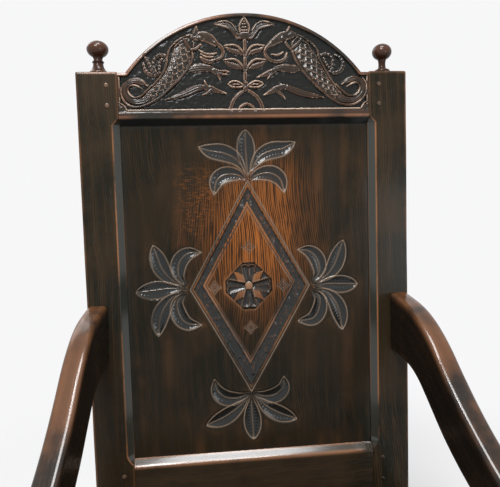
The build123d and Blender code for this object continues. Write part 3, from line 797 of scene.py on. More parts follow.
class Relief:
    """The face of a carved board, as heights of its vertices."""

    def __init__(self, x: Array, s: Array, height: Array, edges: Array) -> None:
        """Takes the vertices' places, their first heights and the edges between them."""
        self.x, self.s, self.h, self.edges = x, s, height.copy(), edges
        # recess darkens a place with dirt and painted shade, worn rubs it, bright paints a highlight on it,
        # and quiet keeps automatic wear and highlights away.
        self.recess, self.worn = np.zeros(len(x)), np.zeros(len(x))
        self.bright, self.quiet = np.zeros(len(x)), np.zeros(len(x))

    def near(self, stroke: Stroke, reach: float) -> Array:
        """Finds the vertices round a stroke.

        Args:
            stroke: the stroke.
            reach: how far beyond its widest place to look.

        Returns:
            Their numbers.
        """
        points = np.array(stroke.points)
        margin = max(stroke.widths) + reach
        low, high = points.min(axis=0) - margin, points.max(axis=0) + margin
        inside = (self.x > low[0]) & (self.x < high[0]) & (self.s > low[1]) & (self.s < high[1])
        return np.flatnonzero(inside)

    def carve(self, stroke: Stroke) -> None:
        """Leaves a stroke standing, with the gouge's bite beside it, or cuts it in if it is a groove.

        Args:
            stroke: the stroke.
        """
        chosen = self.near(stroke, 4.0)
        share, side, along, width = stroke.locate(self.x[chosen], self.s[chosen])
        gap = (share - 1.0) * width
        if stroke.profile is Profile.GROOVE:
            self.h[chosen] -= -stroke.crown * smooth(0.0, -width.max(), gap)
            return
        cover = smooth(0.5, -0.5, gap)
        surface = stroke.height(share, side, along, width)
        bite = 0.5 * soft_line(gap - 0.7, 0.8)
        self.h[chosen] = (self.h[chosen] - bite) * (1.0 - cover) + surface * cover

    def averaged(self, values: Array, rounds: int) -> Array:
        """Evens values out over the net.

        Args:
            values: one for each vertex.
            rounds: how often each one is averaged with its neighbours.

        Returns:
            The averaged values.
        """
        first, second = self.edges.T
        count = np.bincount(first, minlength=len(values)) + np.bincount(second, minlength=len(values)) + 1.0
        for _ in range(rounds):
            total = np.bincount(first, weights=values[second], minlength=len(values))
            total += np.bincount(second, weights=values[first], minlength=len(values))
            values = (values + total) / count
        return values

    def age(self, scale: float, rounds: int, spread: float = 0.5, painted_shine: float = 0.0) -> None:
        """Finds the hollows, darkened with dirt and painted shade, and the crests, rubbed and given a painted
        highlight where they aren't quiet.

        Args:
            scale: how far a place has to stand out to be wholly rubbed.
            rounds: how wide a neighbourhood it stands out of.
            spread: how rubbed a broad raised place is away from its crest.
            painted_shine: how strong the painted highlight on the sharpest crests is.
        """
        lift = self.h - self.averaged(self.h, rounds)
        wide = self.h - self.averaged(self.h, rounds * 6)
        found = np.clip(lift / scale, 0.0, 1.0) + np.clip(wide / 1.6, 0.0, spread)
        self.worn = np.clip(self.worn + found * (1.0 - np.clip(self.quiet, 0, 1)), 0, 1)
        crests = smooth(0.42, 0.85, lift / scale) * (self.quiet < 0.5)
        self.bright = np.clip(self.bright + painted_shine * crests, 0, 1)
        hollows = np.clip(-lift / scale, 0.0, 1.0) + np.clip(-wide / 1.6, 0.0, 0.5)
        self.recess = np.clip(self.recess + hollows, 0, 1)

    def store(self, mesh: Mesh) -> None:
        """Gives the mesh the marks that its finish reads."""
        for name in ("recess", "worn", "bright"):
            set_values(mesh, name, getattr(self, name))


def edges_of(mesh: Mesh) -> Array:
    """A mesh's edges as pairs of vertex numbers."""
    pairs = np.empty(len(mesh.edges) * 2, dtype=np.int64)
    mesh.edges.foreach_get("vertices", pairs)
    return pairs.reshape(-1, 2)


@dataclass
class Piece:
    """What each piece of the chair is made with: the back's plane and a finish."""

    plane: BackPlane
    finish: Material


@dataclass
class CarvedBoard(Piece):
    """What the crest rail and the panel share: a fine net for the face, drawn back to the thickness."""

    def close_back(self, piece: Object, thickness: float, face_count: int) -> None:
        """Draws the net's rim straight back and closes it.

        Args:
            piece: the net, whose first face_count vertices are the carved face.
            thickness: from the stiles' front faces to the board's back.
            face_count: how many vertices the face has.
        """
        back = self.plane.world(0.0, 0.0, 0.0) - self.plane.world(0.0, 0.0, thickness)
        take_up(piece)
        enter_edit(Pick.EDGES, "DESELECT")
        bpy.ops.mesh.select_non_manifold()
        bpy.ops.mesh.mark_sharp()
        bpy.ops.mesh.extrude_region_move(TRANSFORM_OT_translate={"value": tuple(back)})
        bpy.ops.mesh.edge_face_add()
        leave_edit()
        places = places_of(piece.data)
        rim = np.arange(len(places)) >= face_count
        normal = back / np.linalg.norm(back)
        level = self.plane.world(0.0, 0.0, -thickness) @ normal
        places[rim] += (level - places[rim] @ normal)[:, None] * normal
        set_places(piece.data, places)


# The right half of what the plant has on both sides
PLANT_SIDE = (
    # Low leaves, open like an eye
    Stroke(((3, 670.5), (13, 676), (22, 675.5), (27, 672)), (1.2, 1.4, 1.4, 0.8), -0.8),
    Stroke(((3, 669.5), (11, 667.3), (20, 668), (27, 672)), (1.2, 1.6, 1.5, 0.8), -0.8),
    Stroke(((9, 671.4), (15, 672), (20, 671.8)), (0.8, 1.5, 0.6), -1.6),
    # Middle and upper leaves: a thin upper line over a hatched lobe
    Stroke(((4, 694), (13, 698), (24, 701.5), (31, 706.5)),
           (1.0, 4.2, 3.8, 0.6), -1.5, -2.8, Profile.HATCHED, 2.6),
    Stroke(((1, 692), (8, 703.5), (18, 709), (32, 708)), (1.5, 1.6, 1.5, 0.7), -0.7),
    Stroke(((3, 715.5), (12, 719.5), (22, 722.5), (29, 727)),
           (1.0, 3.6, 3.2, 0.6), -1.5, -2.8, Profile.HATCHED, 2.6),
    Stroke(((1, 714), (8, 725.5), (18, 730), (30, 729)), (1.5, 1.6, 1.5, 0.7), -0.7),
    # Outer petals of the flower
    Stroke(((5, 743), (13, 744.5), (18, 752), (26, 758.5), (44, 761)),
           (1.6, 4.2, 4.8, 3.6, 0.7), -1.0, -2.8, Profile.HATCHED, 2.8),
    Stroke(((2, 739.5), (11, 740.5), (17.5, 748), (25, 755), (43, 759.5)), (1.6, 1.7, 1.7, 1.5, 0.7), -0.6),
    Stroke(((12, 751), (19, 760), (29, 764), (42, 762)), (1.2, 1.6, 1.5, 0.8), -0.7),
    # Sides of the bud
    Stroke(((6, 748), (7.2, 757), (3.5, 765), (0, 770.5)), (1.4, 1.5, 1.4, 1.2), -0.6),
)


def plant() -> list[Stroke]:
    """The plant in the middle of the crest: root, stem, three pairs of leaves and a flower."""
    strokes = [
        Stroke(((0, 664), (-11, 657), (-19, 648), (-24, 636)), (2.0, 2.4, 2.6, 2.8), -0.8),
        Stroke(((1, 664), (12, 657), (20, 648), (25, 636)), (2.0, 2.4, 2.6, 2.8), -0.8),
        Stroke(((-11, 634), (-8, 639), (1, 642.5), (9, 639), (12, 634)), (1.6, 1.8, 2.0, 1.8, 1.6), -1.2),
        Stroke(((0, 741), (0, 704), (-1, 666)), (2.4, 2.5, 2.8), -0.7),
        Stroke(((-1, 664), (0, 669), (0, 674)), (3.4, 4.0, 3.0), -0.4),
    ]
    strokes += [stroke.on_side(side) for side in (-1, 1) for stroke in PLANT_SIDE]
    strokes.append(Stroke(((-3.2, 744), (3.2, 744)), (4.6, 4.6), -0.4, -1.4))
    berries = ((751.5, (-3.2, 0.0, 3.2)), (756.0, (-1.7, 1.7)), (760.5, (-2.4, 0.8)), (764.5, (0.0,)))
    for s, row in berries:
        strokes += [Stroke(((x - 0.4, s), (x + 0.4, s)), (1.1, 1.1), -1.4, -2.6) for x in row]
    return strokes


# The scaled beast on the left, its tail coiled in the corner and its paws to the plant
LEFT_BEAST = (
    # Wing
    Stroke(((-116, 714), (-127, 714.5), (-134, 709), (-137, 701), (-134, 690)),
           (1.6, 2.4, 2.6, 2.4, 2.0), -1.1, profile=Profile.BEADED),
    Stroke(((-124, 709), (-127, 704), (-128, 696), (-128, 688)),
           (1.8, 2.2, 2.2, 1.6), -1.3, -2.8, Profile.BEADED, 4.5),
    Stroke(((-149, 713), (-145, 706), (-141, 697), (-137, 689)),
           (1.4, 2.4, 2.6, 2.0), -1.1, -2.6, Profile.BEADED, 5.0),
    Stroke(((-151, 703), (-149, 693), (-143, 687), (-135, 685), (-129, 688)),
           (1.6, 2.4, 2.8, 2.8, 2.4), -1.0, -2.4, Profile.BEADED, 5.0),
    # Tail
    Stroke(((-141, 656), (-153, 648.5), (-166, 647.5), (-176, 653.5), (-180.5, 662), (-178.5, 671),
            (-169, 677), (-157, 676.5), (-146, 670)),
           (7.0, 5.2, 4.6, 4.2, 4.0, 3.9, 4.2, 3.8, 0.8), -1.2, -2.6, Profile.CHANNELLED),
    Stroke(((-140, 671), (-149, 662.5), (-157, 655.5), (-166, 653), (-173, 657.5), (-175.5, 664.5),
            (-172, 670), (-164, 671), (-155, 666.5)),
           (1.0, 1.4, 1.5, 1.4, 1.4, 1.3, 1.5, 1.4, 0.6), -0.9),
    # Legs
    Stroke(((-86, 693), (-74, 695.5), (-58, 696), (-46, 692.5)),
           (3.0, 6.4, 5.8, 3.6), -1.2, -2.6, Profile.CHANNELLED),
    Stroke(((-48, 692), (-41, 689.5), (-36, 687.5)), (3.4, 4.4, 2.6), -0.9),
    Stroke(((-39, 691), (-31, 691.5), (-24, 690)), (2.0, 1.9, 0.8), -1.0),
    Stroke(((-38, 688), (-32, 686.5), (-28, 686.5)), (1.8, 1.6, 0.8), -1.2),
    Stroke(((-41, 687), (-39.5, 682.5), (-38.5, 678.5)), (2.2, 1.8, 0.8), -1.1),
    Stroke(((-121, 649.5), (-104, 654), (-88, 660), (-74, 666), (-61, 668)),
           (1.0, 3.4, 5.0, 5.2, 4.0), -1.2, -2.6, Profile.CHANNELLED),
    Stroke(((-64, 668), (-53, 665.5), (-43, 662), (-30, 658.5)), (3.6, 4.4, 3.0, 0.9), -0.8),
    Stroke(((-58, 668), (-60.5, 673), (-62, 678)), (2.2, 1.7, 0.7), -1.1),
    Stroke(((-52, 664), (-58, 659.5), (-65, 656.5)), (2.4, 2.0, 0.8), -1.1),
    # Body and its borders
    Stroke(((-86, 731), (-93, 717), (-100, 700), (-111, 682), (-125, 667), (-141, 656)),
           (10.5, 14.0, 12.6, 11.4, 10.2, 8.0), -0.6, -2.2, Profile.SCALED, 7.8),
    Stroke(((-80, 723), (-79, 711), (-86, 696), (-96, 684), (-108, 672), (-121, 660), (-137, 648.5),
            (-153, 641.5), (-167, 639.5), (-179, 645), (-185, 656), (-185, 668)),
           (1.4, 1.9, 2.0, 2.0, 2.0, 2.0, 1.9, 1.8, 1.7, 1.6, 1.5, 0.8), -0.5, -2.6),
    Stroke(((-105, 732), (-112, 723), (-116, 712), (-117.5, 702), (-122, 691), (-130, 680), (-139, 670.5)),
           (0.8, 1.4, 1.6, 1.6, 1.6, 1.6, 1.0), -0.9),
    Stroke(((-76, 745), (-89, 741), (-101, 734.5), (-106, 730.5)), (1.6, 2.0, 2.0, 1.0), -0.6),
    Stroke(((-86, 738.5), (-97, 733), (-104, 727)), (1.4, 1.6, 1.0), -0.9),
    Stroke(((-90, 737), (-86, 729), (-80, 721.5)), (2.0, 2.5, 2.2), -0.4, -2.0),
    Stroke(((-80, 722), (-73, 724.5), (-66, 730)), (2.0, 1.9, 1.6), -0.5, -2.0),
    # Head
    Stroke(((-77, 741), (-69, 742), (-59, 741.5), (-50, 737), (-43, 731)),
           (4.0, 6.4, 7.2, 6.2, 4.0), -0.3, -2.0),
    Stroke(((-75, 745), (-72.5, 751), (-71.5, 756.5)), (3.4, 3.0, 0.9), -0.8),
    Stroke(((-45, 733), (-36.5, 727.5), (-33, 720.5), (-35, 713), (-42, 708.5), (-51, 708)),
           (3.0, 2.6, 2.4, 2.3, 2.1, 1.0), -0.6),
    Stroke(((-66, 711.5), (-60, 706.5), (-52, 705), (-46, 708)), (1.6, 3.0, 3.0, 1.6), -1.0),
    Stroke(((-69, 722.5), (-61, 717.5), (-52, 716), (-43, 717.5)), (1.0, 1.6, 1.7, 1.2), -1.1),
    Stroke(((-66, 716.5), (-58, 712.5), (-48, 712.5)), (0.9, 1.4, 1.0), -1.3),
    # Eye
    Stroke(((-73, 738.8), (-67, 743.8), (-59.5, 739.5)), (0.9, 1.1, 0.9), -1.5, profile=Profile.GROOVE),
    Stroke(((-73, 738.8), (-66, 735.4), (-59.5, 739.5)), (0.9, 1.1, 0.9), -1.5, profile=Profile.GROOVE),
    Stroke(((-67.0, 739.6), (-65.4, 739.6)), (1.7, 1.7), 0.0, -1.0),
)

# The scaled beast on the right, which the carver cut by eye and a little fuller
RIGHT_BEAST = (
    # Wing
    Stroke(((114, 714), (124, 716.5), (132, 713), (135, 706), (134, 697), (137, 688)),
           (1.6, 2.4, 2.6, 2.4, 2.2, 2.0), -1.1, profile=Profile.BEADED),
    Stroke(((139, 715), (148, 709.5), (151, 700), (147, 691.5), (138, 688), (130, 691)),
           (1.8, 2.8, 3.0, 2.8, 2.6, 1.8), -1.0, -2.4, Profile.BEADED, 5.0),
    Stroke(((121, 710), (124, 703), (128, 697), (133, 692)),
           (1.6, 2.2, 2.2, 1.4), -1.3, -2.8, Profile.BEADED, 4.5),
    # Tail
    Stroke(((139, 655), (152, 648), (166, 648), (176.5, 654.5), (181.5, 663.5), (180, 673), (171.5, 679.5),
            (160, 678), (148, 671)),
           (7.0, 5.2, 4.6, 4.2, 4.0, 3.9, 4.2, 3.8, 0.8), -1.2, -2.6, Profile.CHANNELLED),
    Stroke(((139, 671), (148, 662.5), (157, 655.5), (167, 654), (174.5, 659.5), (176.5, 667), (172.5, 673),
            (164.5, 672.5), (156, 667.5)),
           (1.0, 1.4, 1.5, 1.4, 1.4, 1.3, 1.5, 1.4, 0.6), -0.9),
    # Legs
    Stroke(((84, 695), (71, 694.5), (57, 696), (47, 694.5), (40, 690)),
           (3.0, 6.2, 5.6, 4.0, 3.0), -1.2, -2.6, Profile.CHANNELLED),
    Stroke(((44, 692), (36, 688.5), (28, 685.5), (18, 682)), (3.6, 4.0, 2.8, 0.9), -0.9),
    Stroke(((40, 688), (37, 684), (33.5, 680)), (2.0, 1.7, 0.8), -1.1),
    Stroke(((119, 651.5), (104, 654), (89, 657), (74, 662.5), (62, 667), (54, 670.5)),
           (1.0, 3.4, 4.8, 4.8, 3.8, 2.6), -1.2, -2.6, Profile.CHANNELLED),
    Stroke(((58, 669), (46, 664.5), (37, 660), (27, 655.5)), (3.2, 4.4, 3.0, 0.9), -0.8),
    Stroke(((47, 662), (54, 656.5), (60, 649.5)), (2.4, 2.0, 0.8), -1.1),
    # Body and its borders
    Stroke(((82, 730), (93, 713), (104, 696), (114, 680), (126, 665), (140, 655)),
           (10.5, 14.0, 12.8, 11.6, 10.2, 8.0), -0.6, -2.2, Profile.SCALED, 7.8),
    Stroke(((71, 724), (77, 709), (85, 696), (95, 683.5), (108, 670.5), (122, 658), (135, 648), (149, 641),
            (165, 640.5), (178, 647.5), (186, 659), (187, 671), (181.5, 680)),
           (1.4, 1.9, 2.0, 2.0, 2.0, 2.0, 1.9, 1.8, 1.7, 1.6, 1.5, 1.4, 0.8), -0.5, -2.6),
    Stroke(((104, 731), (111, 722), (113.5, 710), (120.5, 697), (129.5, 682), (138.5, 666.5)),
           (0.8, 1.5, 1.6, 1.6, 1.6, 1.0), -0.9),
    Stroke(((70, 750), (80, 744), (92, 739), (104, 731.5)), (1.6, 2.0, 2.0, 1.0), -0.6),
    Stroke(((80, 741), (90, 735.5), (98, 729.5)), (1.4, 1.6, 1.0), -0.9),
    Stroke(((86, 738), (79, 730.5), (71, 724.5)), (2.0, 2.5, 2.2), -0.4, -2.0),
    Stroke(((71, 724), (66, 728), (62, 734)), (2.0, 1.9, 1.6), -0.5, -2.0),
    # Head
    Stroke(((72, 744), (65, 744), (56, 741), (47, 736), (38, 730)), (4.2, 6.6, 7.0, 5.6, 3.4), -0.3, -2.0),
    Stroke(((66, 749), (67.5, 753), (68, 757)), (3.2, 2.6, 0.9), -0.8),
    Stroke(((40, 731.5), (33, 726), (30.5, 719), (33.5, 711.5), (41, 706.5), (52, 705.5), (60.5, 709.5),
            (64, 718)),
           (3.0, 2.5, 2.3, 2.3, 2.4, 2.6, 2.2, 1.2), -0.6),
    Stroke(((41, 716), (50, 715), (58, 719)), (1.0, 1.6, 1.2), -1.1),
    # Eye
    Stroke(((64.5, 739.3), (58.5, 744.0), (51, 738.8)), (0.9, 1.1, 0.9), -1.5, profile=Profile.GROOVE),
    Stroke(((64.5, 739.3), (58, 735.2), (51, 738.8)), (0.9, 1.1, 0.9), -1.5, profile=Profile.GROOVE),
    Stroke(((57.2, 739.6), (58.8, 739.6)), (1.7, 1.7), 0.0, -1.0),
)


@dataclass
class CrestRail(CarvedBoard):
    """The arched rail over the back, carved with two beasts and a plant on a sunk ground."""

    half: float = 190.0
    low: float = 613.0
    arris: float = 623.0
    shoulder: float = 689.0
    top: float = 775.8
    half_chord: float = 178.0
    border: float = 4.4
    end_border: float = 2.6
    field_low: float = 634.4
    ground: float = 4.0
    thickness: float = 34.0
    columns: int = 440
    rows: int = 178
    smooth_angle: float = 80.0

    @property
    def radius(self) -> float:
        """The arch's radius."""
        rise = self.top - self.shoulder
        return (self.half_chord**2 + rise**2) / (2 * rise)

    def upper_edge(self, x: Array) -> Array:
        """The rail's upper edge over these places."""
        arch = self.top - self.radius + np.sqrt(self.radius**2 - np.minimum(np.abs(x), self.half_chord) ** 2)
        return np.where(np.abs(x) < self.half_chord, arch, self.shoulder)

    def edge_distance(self, x: Array, s: Array) -> Array:
        """How far places inside the rail are from its upper edge.

        Args:
            x: places across.
            s: places up the slope.

        Returns:
            The distances.
        """
        centre = self.top - self.radius
        corner = np.hypot(np.abs(x) - self.half_chord, s - self.shoulder)
        bearing = np.abs(x) / np.hypot(x, s - centre) * self.radius
        arch = np.where(bearing < self.half_chord, self.radius - np.hypot(x, s - centre), 1e3)
        flat = np.where(np.abs(x) > self.half_chord, self.shoulder - s, 1e3)
        return np.minimum(np.minimum(arch, flat), corner)

    def first_heights(self, x: Array, s: Array) -> Array:
        """The rail before its figures are carved: borders, and the sunk ground with its tool marks.

        Args:
            x: places across.
            s: places up the slope.

        Returns:
            Heights from the stiles' front faces.
        """
        edge = self.edge_distance(x, s)
        field = smooth(self.border, self.border + 1.3, edge)
        field *= smooth(self.field_low, self.field_low + 1.2, s)
        field *= smooth(self.half - self.end_border, self.half - self.end_border - 1.2, np.abs(x))
        marks = 0.20 * value_noise(x * 0.6 + s * 0.25, s, 2.6, 3) + 0.36 * value_noise(x, s, 5.5, 4)
        face = -0.25 + 0.12 * value_noise(x, s, 14.0, 5)
        height = face * (1 - field) + (marks - self.ground) * field
        height -= 0.8 * np.clip(1.0 - edge / self.border, 0.0, 1.0) ** 2
        under = self.arris - s
        height -= 0.5 * (under + np.hypot(under, 1.4))
        line = np.abs(s - self.field_low + 3.2)
        return height - 0.2 * smooth(1.3, 0.2, line)

    def borders(self) -> list[Stroke]:
        """The fillets at the foot and the ends of the field, and the lobes in its lower corners."""
        line, end = self.field_low, self.half - 2.2
        corner = (
            Stroke(((end, 646), (end, 664), (end, 682)), (1.3, 1.3, 1.2), -0.4, -1.6),
            Stroke(((187, 636), (184, 637)), (4.0, 4.4), -0.8, -1.6),
            Stroke(((189, 645.5), (182.5, 641.5), (178, 634.5)), (1.2, 1.3, 1.1), -0.3, -1.4),
        )
        strokes = [Stroke(((-178, line), (0, line), (180, line)), (1.2, 1.3, 1.2), 0.0, -1.2)]
        return strokes + [stroke.on_side(side) for side in (-1, 1) for stroke in corner]

    def build(self) -> None:
        """Makes the rail."""
        deselect_all()
        bpy.ops.mesh.primitive_grid_add(x_subdivisions=self.columns, y_subdivisions=self.rows, size=1.0)
        piece = bpy.context.object
        net = places_of(piece.data)
        x = (net[:, 0] * 2.0) * self.half
        upper = self.upper_edge(x)
        s = self.low + (net[:, 1] + 0.5) * (upper - self.low)
        relief = Relief(x, s, self.first_heights(x, s), edges_of(piece.data))
        for stroke in (*self.borders(), *plant(), *LEFT_BEAST, *RIGHT_BEAST):
            relief.carve(stroke)
        relief.h = np.minimum(relief.h, 0.0)
        depth = smooth(-2.2, -3.5, relief.h)
        relief.recess += 0.75 * depth
        relief.worn -= 0.8 * depth
        edge = self.edge_distance(x, s)
        relief.worn += 0.75 * smooth(self.border + 0.8, self.border - 0.4, edge)
        relief.quiet += smooth(self.border + 2.2, self.border + 1.2, edge)
        relief.worn += 0.95 * smooth(3.4, 0.8, np.abs(s - self.arris - 0.8))
        relief.worn += 0.15 * smooth(self.field_low - 0.5, self.field_low - 1.5, s)
        # Painted shade: the chamfer under the lower arris faces down and is darkened as if in shadow.
        relief.recess += 0.8 * smooth(self.arris, self.arris - 2.0, s)
        relief.quiet += smooth(self.field_low - 1.5, self.field_low - 2.5, s)
        # Painted highlight: a pale line along the fillet at the foot of the field.
        fillet = smooth(1.2, 0.5, np.abs(s - self.field_low)) * smooth(178.0, 175.0, np.abs(x))
        relief.bright += 0.9 * fillet
        # Shine here paints a pale highlight along the figures' sharpest crests.
        relief.age(scale=1.0, rounds=2, spread=0.04, painted_shine=1.0)
        set_places(piece.data, self.plane.world(x, s, relief.h))
        self.close_back(piece, self.thickness, len(x))
        relief.store(piece.data)
        smooth_shading(self.smooth_angle)
        finish_piece(piece, "carved_crest_rail", self.finish, ["crest_rail"])


def spray(*lines: tuple[Point, ...]) -> list[Stroke]:
    """A spray of five leaves.

    Args:
        lines: each leaf's middle line from its base to its tip: two long leaves, two curled ones and the
            middle one.

    Returns:
        The leaves, each one widest beyond its middle.
    """
    leaves = []
    for number, points in enumerate(lines):
        half_width, lag = ((12.6, 1.4), (12.6, 1.4), (12.0, 1.1), (12.0, 1.1), (13.6, 1.4))[number]
        walk = Stroke(points, (1.0,) * len(points)).spine()[0]
        chosen = walk[np.linspace(0, len(walk) - 1, 13).astype(int)]
        shares = np.linspace(0.0, 1.0, 13)
        widths = np.maximum(half_width * np.sin(math.pi * shares**lag).clip(0) ** 0.85, 0.5)
        leaves.append(Stroke(tuple(map(tuple, chosen)), tuple(widths), profile=Profile.LEAF))
    return leaves


TOP_SPRAY = spray(
    ((-2, 534), (-8, 549), (-20, 563), (-38, 571), (-56, 574), (-74, 580)),
    ((3, 534), (9, 550), (21, 565), (38, 573), (56, 576), (75, 585)),
    ((-1, 528), (-17, 537), (-36, 537), (-49, 527), (-53, 507)),
    ((1, 528), (18, 537), (37, 538), (51, 528), (57, 508)),
    ((0, 530), (-1, 556), (-2, 582), (-2, 605)),
)
LEFT_SPRAY = spray(
    ((-102, 367), (-122, 377), (-136, 394), (-143, 412), (-149, 432)),
    ((-104, 357), (-122, 350), (-136, 334), (-144, 314), (-146, 291)),
    ((-100, 368), (-112, 384), (-110, 404), (-97, 417), (-76, 419)),
    ((-101, 357), (-115, 342), (-113, 322), (-101, 308), (-79, 305)),
    ((-101, 363), (-128, 364), (-152, 362), (-177, 360)),
)
RIGHT_SPRAY = spray(
    ((100, 363), (121, 374), (134, 390), (142, 409), (149, 430)),
    ((102, 354), (122, 347), (136, 330), (143, 310), (146, 287)),
    ((98, 364), (110, 381), (107, 401), (95, 414), (76, 418)),
    ((99, 353), (110, 338), (108, 319), (97, 306), (74, 304)),
    ((101, 359), (124, 361), (147, 360), (171, 359)),
)
BOTTOM_SPRAY = spray(
    ((-6, 188), (-16, 177), (-29, 166), (-48, 154), (-76, 143)),
    ((-1, 188), (9, 178), (22, 166), (42, 154), (68, 144)),
    ((-5, 192), (-24, 184), (-45, 186), (-58, 198), (-62, 217)),
    ((-2, 192), (17, 184), (36, 186), (48, 197), (49, 215)),
    ((-4, 190), (-4, 166), (-3, 142), (-2, 116)),
)


@dataclass
class BackPanel(CarvedBoard):
    """The wide panel, cut in with a lozenge, a rosette, stars and four sprays of leaves."""

    half_width: float = 198.0
    low: float = 91.0
    high: float = 621.0
    face: float = -12.0
    tongue: float = 8.0
    groove: float = 8.0
    field_rise: float = 5.0
    thinned_width: float = 22.0
    outer: tuple[float, ...] = (-0.7, 361.0, 88.6, 157.5)
    inner: tuple[float, ...] = (-2.4, 366.4, 71.8, 127.0)
    lean: float = 2.6
    scribed: float = 4.6
    band_depth: float = 2.6
    rosette: Point = (-3.0, 363.3)
    rosette_size: float = 35.0
    button: float = 6.6
    stars: tuple[Point, ...] = ((-2.0, 424.6), (-2.1, 297.7), (-56.7, 362.9), (51.2, 362.5))
    star_size: float = 10.5
    step: float = 4.0
    cuts: int = 3
    smooth_angle: float = 50.0

    def leaves(self) -> list[Stroke]:
        """All the leaves of the four sprays."""
        return TOP_SPRAY + LEFT_SPRAY + RIGHT_SPRAY + BOTTOM_SPRAY

    def band_distances(self, x: Array, s: Array) -> tuple[Array, Array]:
        """Where places lie with regard to the lozenge's band.

        Args:
            x: places across.
            s: places up the slope.

        Returns:
            How far each one is outside the outer outline, and outside the inner one.
        """
        distances = []
        drift = self.lean * np.clip((self.outer[1] - s) / self.outer[3], 0.0, 1.2) ** 2
        for centre_x, centre_s, half_x, half_s in (self.outer, self.inner):
            share = np.abs(x + drift - centre_x) / half_x + np.abs(s - centre_s) / half_s
            distances.append((share - 1.0) * half_x * half_s / math.hypot(half_x, half_s))
        return distances[0], distances[1]

    def touched(self, x: Array, s: Array) -> Array:
        """Whether places lie near a carved line, where the net has to be fine.

        Args:
            x: places across.
            s: places up the slope.

        Returns:
            One truth for each place.
        """
        outside, inside = self.band_distances(x, s)
        near = (outside < 8.0) & (inside > -7.0)
        near |= np.hypot(x - self.rosette[0], s - self.rosette[1]) < self.rosette_size + 6.0
        for star in self.stars:
            near |= np.hypot(x - star[0], s - star[1]) < self.star_size + 4.0
        flat = Relief(x, s, np.zeros(len(x)), np.zeros((0, 2), dtype=int))
        for leaf in self.leaves():
            chosen = flat.near(leaf, 5.0)
            share, _, _, width = leaf.locate(x[chosen], s[chosen])
            near[chosen] |= (share - 1.0) * width < 3.0
        return near

    def carve_leaf(self, relief: Relief, leaf: Stroke) -> None:
        """Cuts one leaf in: a sharp rim, a hollow, a thin midrib and a row of punched dots down each side.

        Args:
            relief: the panel's face.
            leaf: the leaf, as a stroke along its midrib.
        """
        chosen = relief.near(leaf, 7.0)
        share, side, along, width = leaf.locate(relief.x[chosen], relief.s[chosen])
        gap = (share - 1.0) * width
        inside = smooth(0.5, -0.5, gap)
        length = along.max()
        hollow = np.clip(1.0 - share, 0.0, 1.0) ** 0.75 * smooth(0.0, 4.0, width)
        rib = soft_line(side * width, 0.9) * smooth(length, length * 0.8, along)
        beside = (np.abs(side) * width - width * 0.48) * 1.1
        dots = smooth(1.6, 0.7, np.hypot((along % 5.2) - 2.6, beside)) * smooth(4.0, 6.0, width)
        surface = self.face - 3.3 * hollow + 1.5 * rib * hollow**0.5 - 0.35 * dots
        trench = 0.7 * soft_line(gap - 1.0, 0.8)
        relief.h[chosen] = (relief.h[chosen] - trench) * (1.0 - inside) + surface * inside
        relief.recess[chosen] += 0.9 * smooth(-0.6, -2.0, gap) * (1.0 - rib) + 0.4 * trench
        relief.quiet[chosen] += smooth(6.5, 4.5, gap)
        # Painted highlight: pale lines along the leaf's outline and midrib, fading out towards its base.
        lines = 0.75 * soft_line(gap + 0.1, 0.7) + 0.4 * rib * inside
        relief.bright[chosen] += lines * smooth(0.0, length * 0.2, along)

    def carve_band(self, relief: Relief) -> None:
        """Sinks the lozenge's band, with a bead and a scribed line outside it and a line inside."""
        outside, inside = self.band_distances(relief.x, relief.s)
        sunk = smooth(0.0, -1.3, outside) * smooth(0.0, 1.3, inside)
        punched = 0.16 * value_noise(relief.x, relief.s, 2.6, 11)
        punched += 0.75 * value_noise(relief.x, relief.s, 7.0, 12)
        relief.h += sunk * (punched - self.band_depth)
        for line in (outside - self.scribed + 0.9, -inside - 3.0):
            relief.h -= 0.75 * soft_line(line, 0.75)
            relief.recess += 0.45 * soft_line(line, 0.8)
        for bead, wear in ((-inside - 1.2, 0.6), (-inside - 4.6, 0.45), (outside - 1.1, 0.9)):
            relief.worn += wear * soft_line(bead, 0.9)
        # Painted highlight: a pale line just beyond the scribed line, and one along the lower half of the
        # inner edge.
        relief.bright += 0.6 * soft_line(outside - self.scribed, 0.75)
        relief.bright += 0.35 * soft_line(inside + 0.4, 0.7) * (relief.s < self.inner[1])
        relief.quiet += smooth(-1.0, 0.0, outside) * smooth(7.5, 6.0, outside)
        relief.recess += 0.85 * sunk

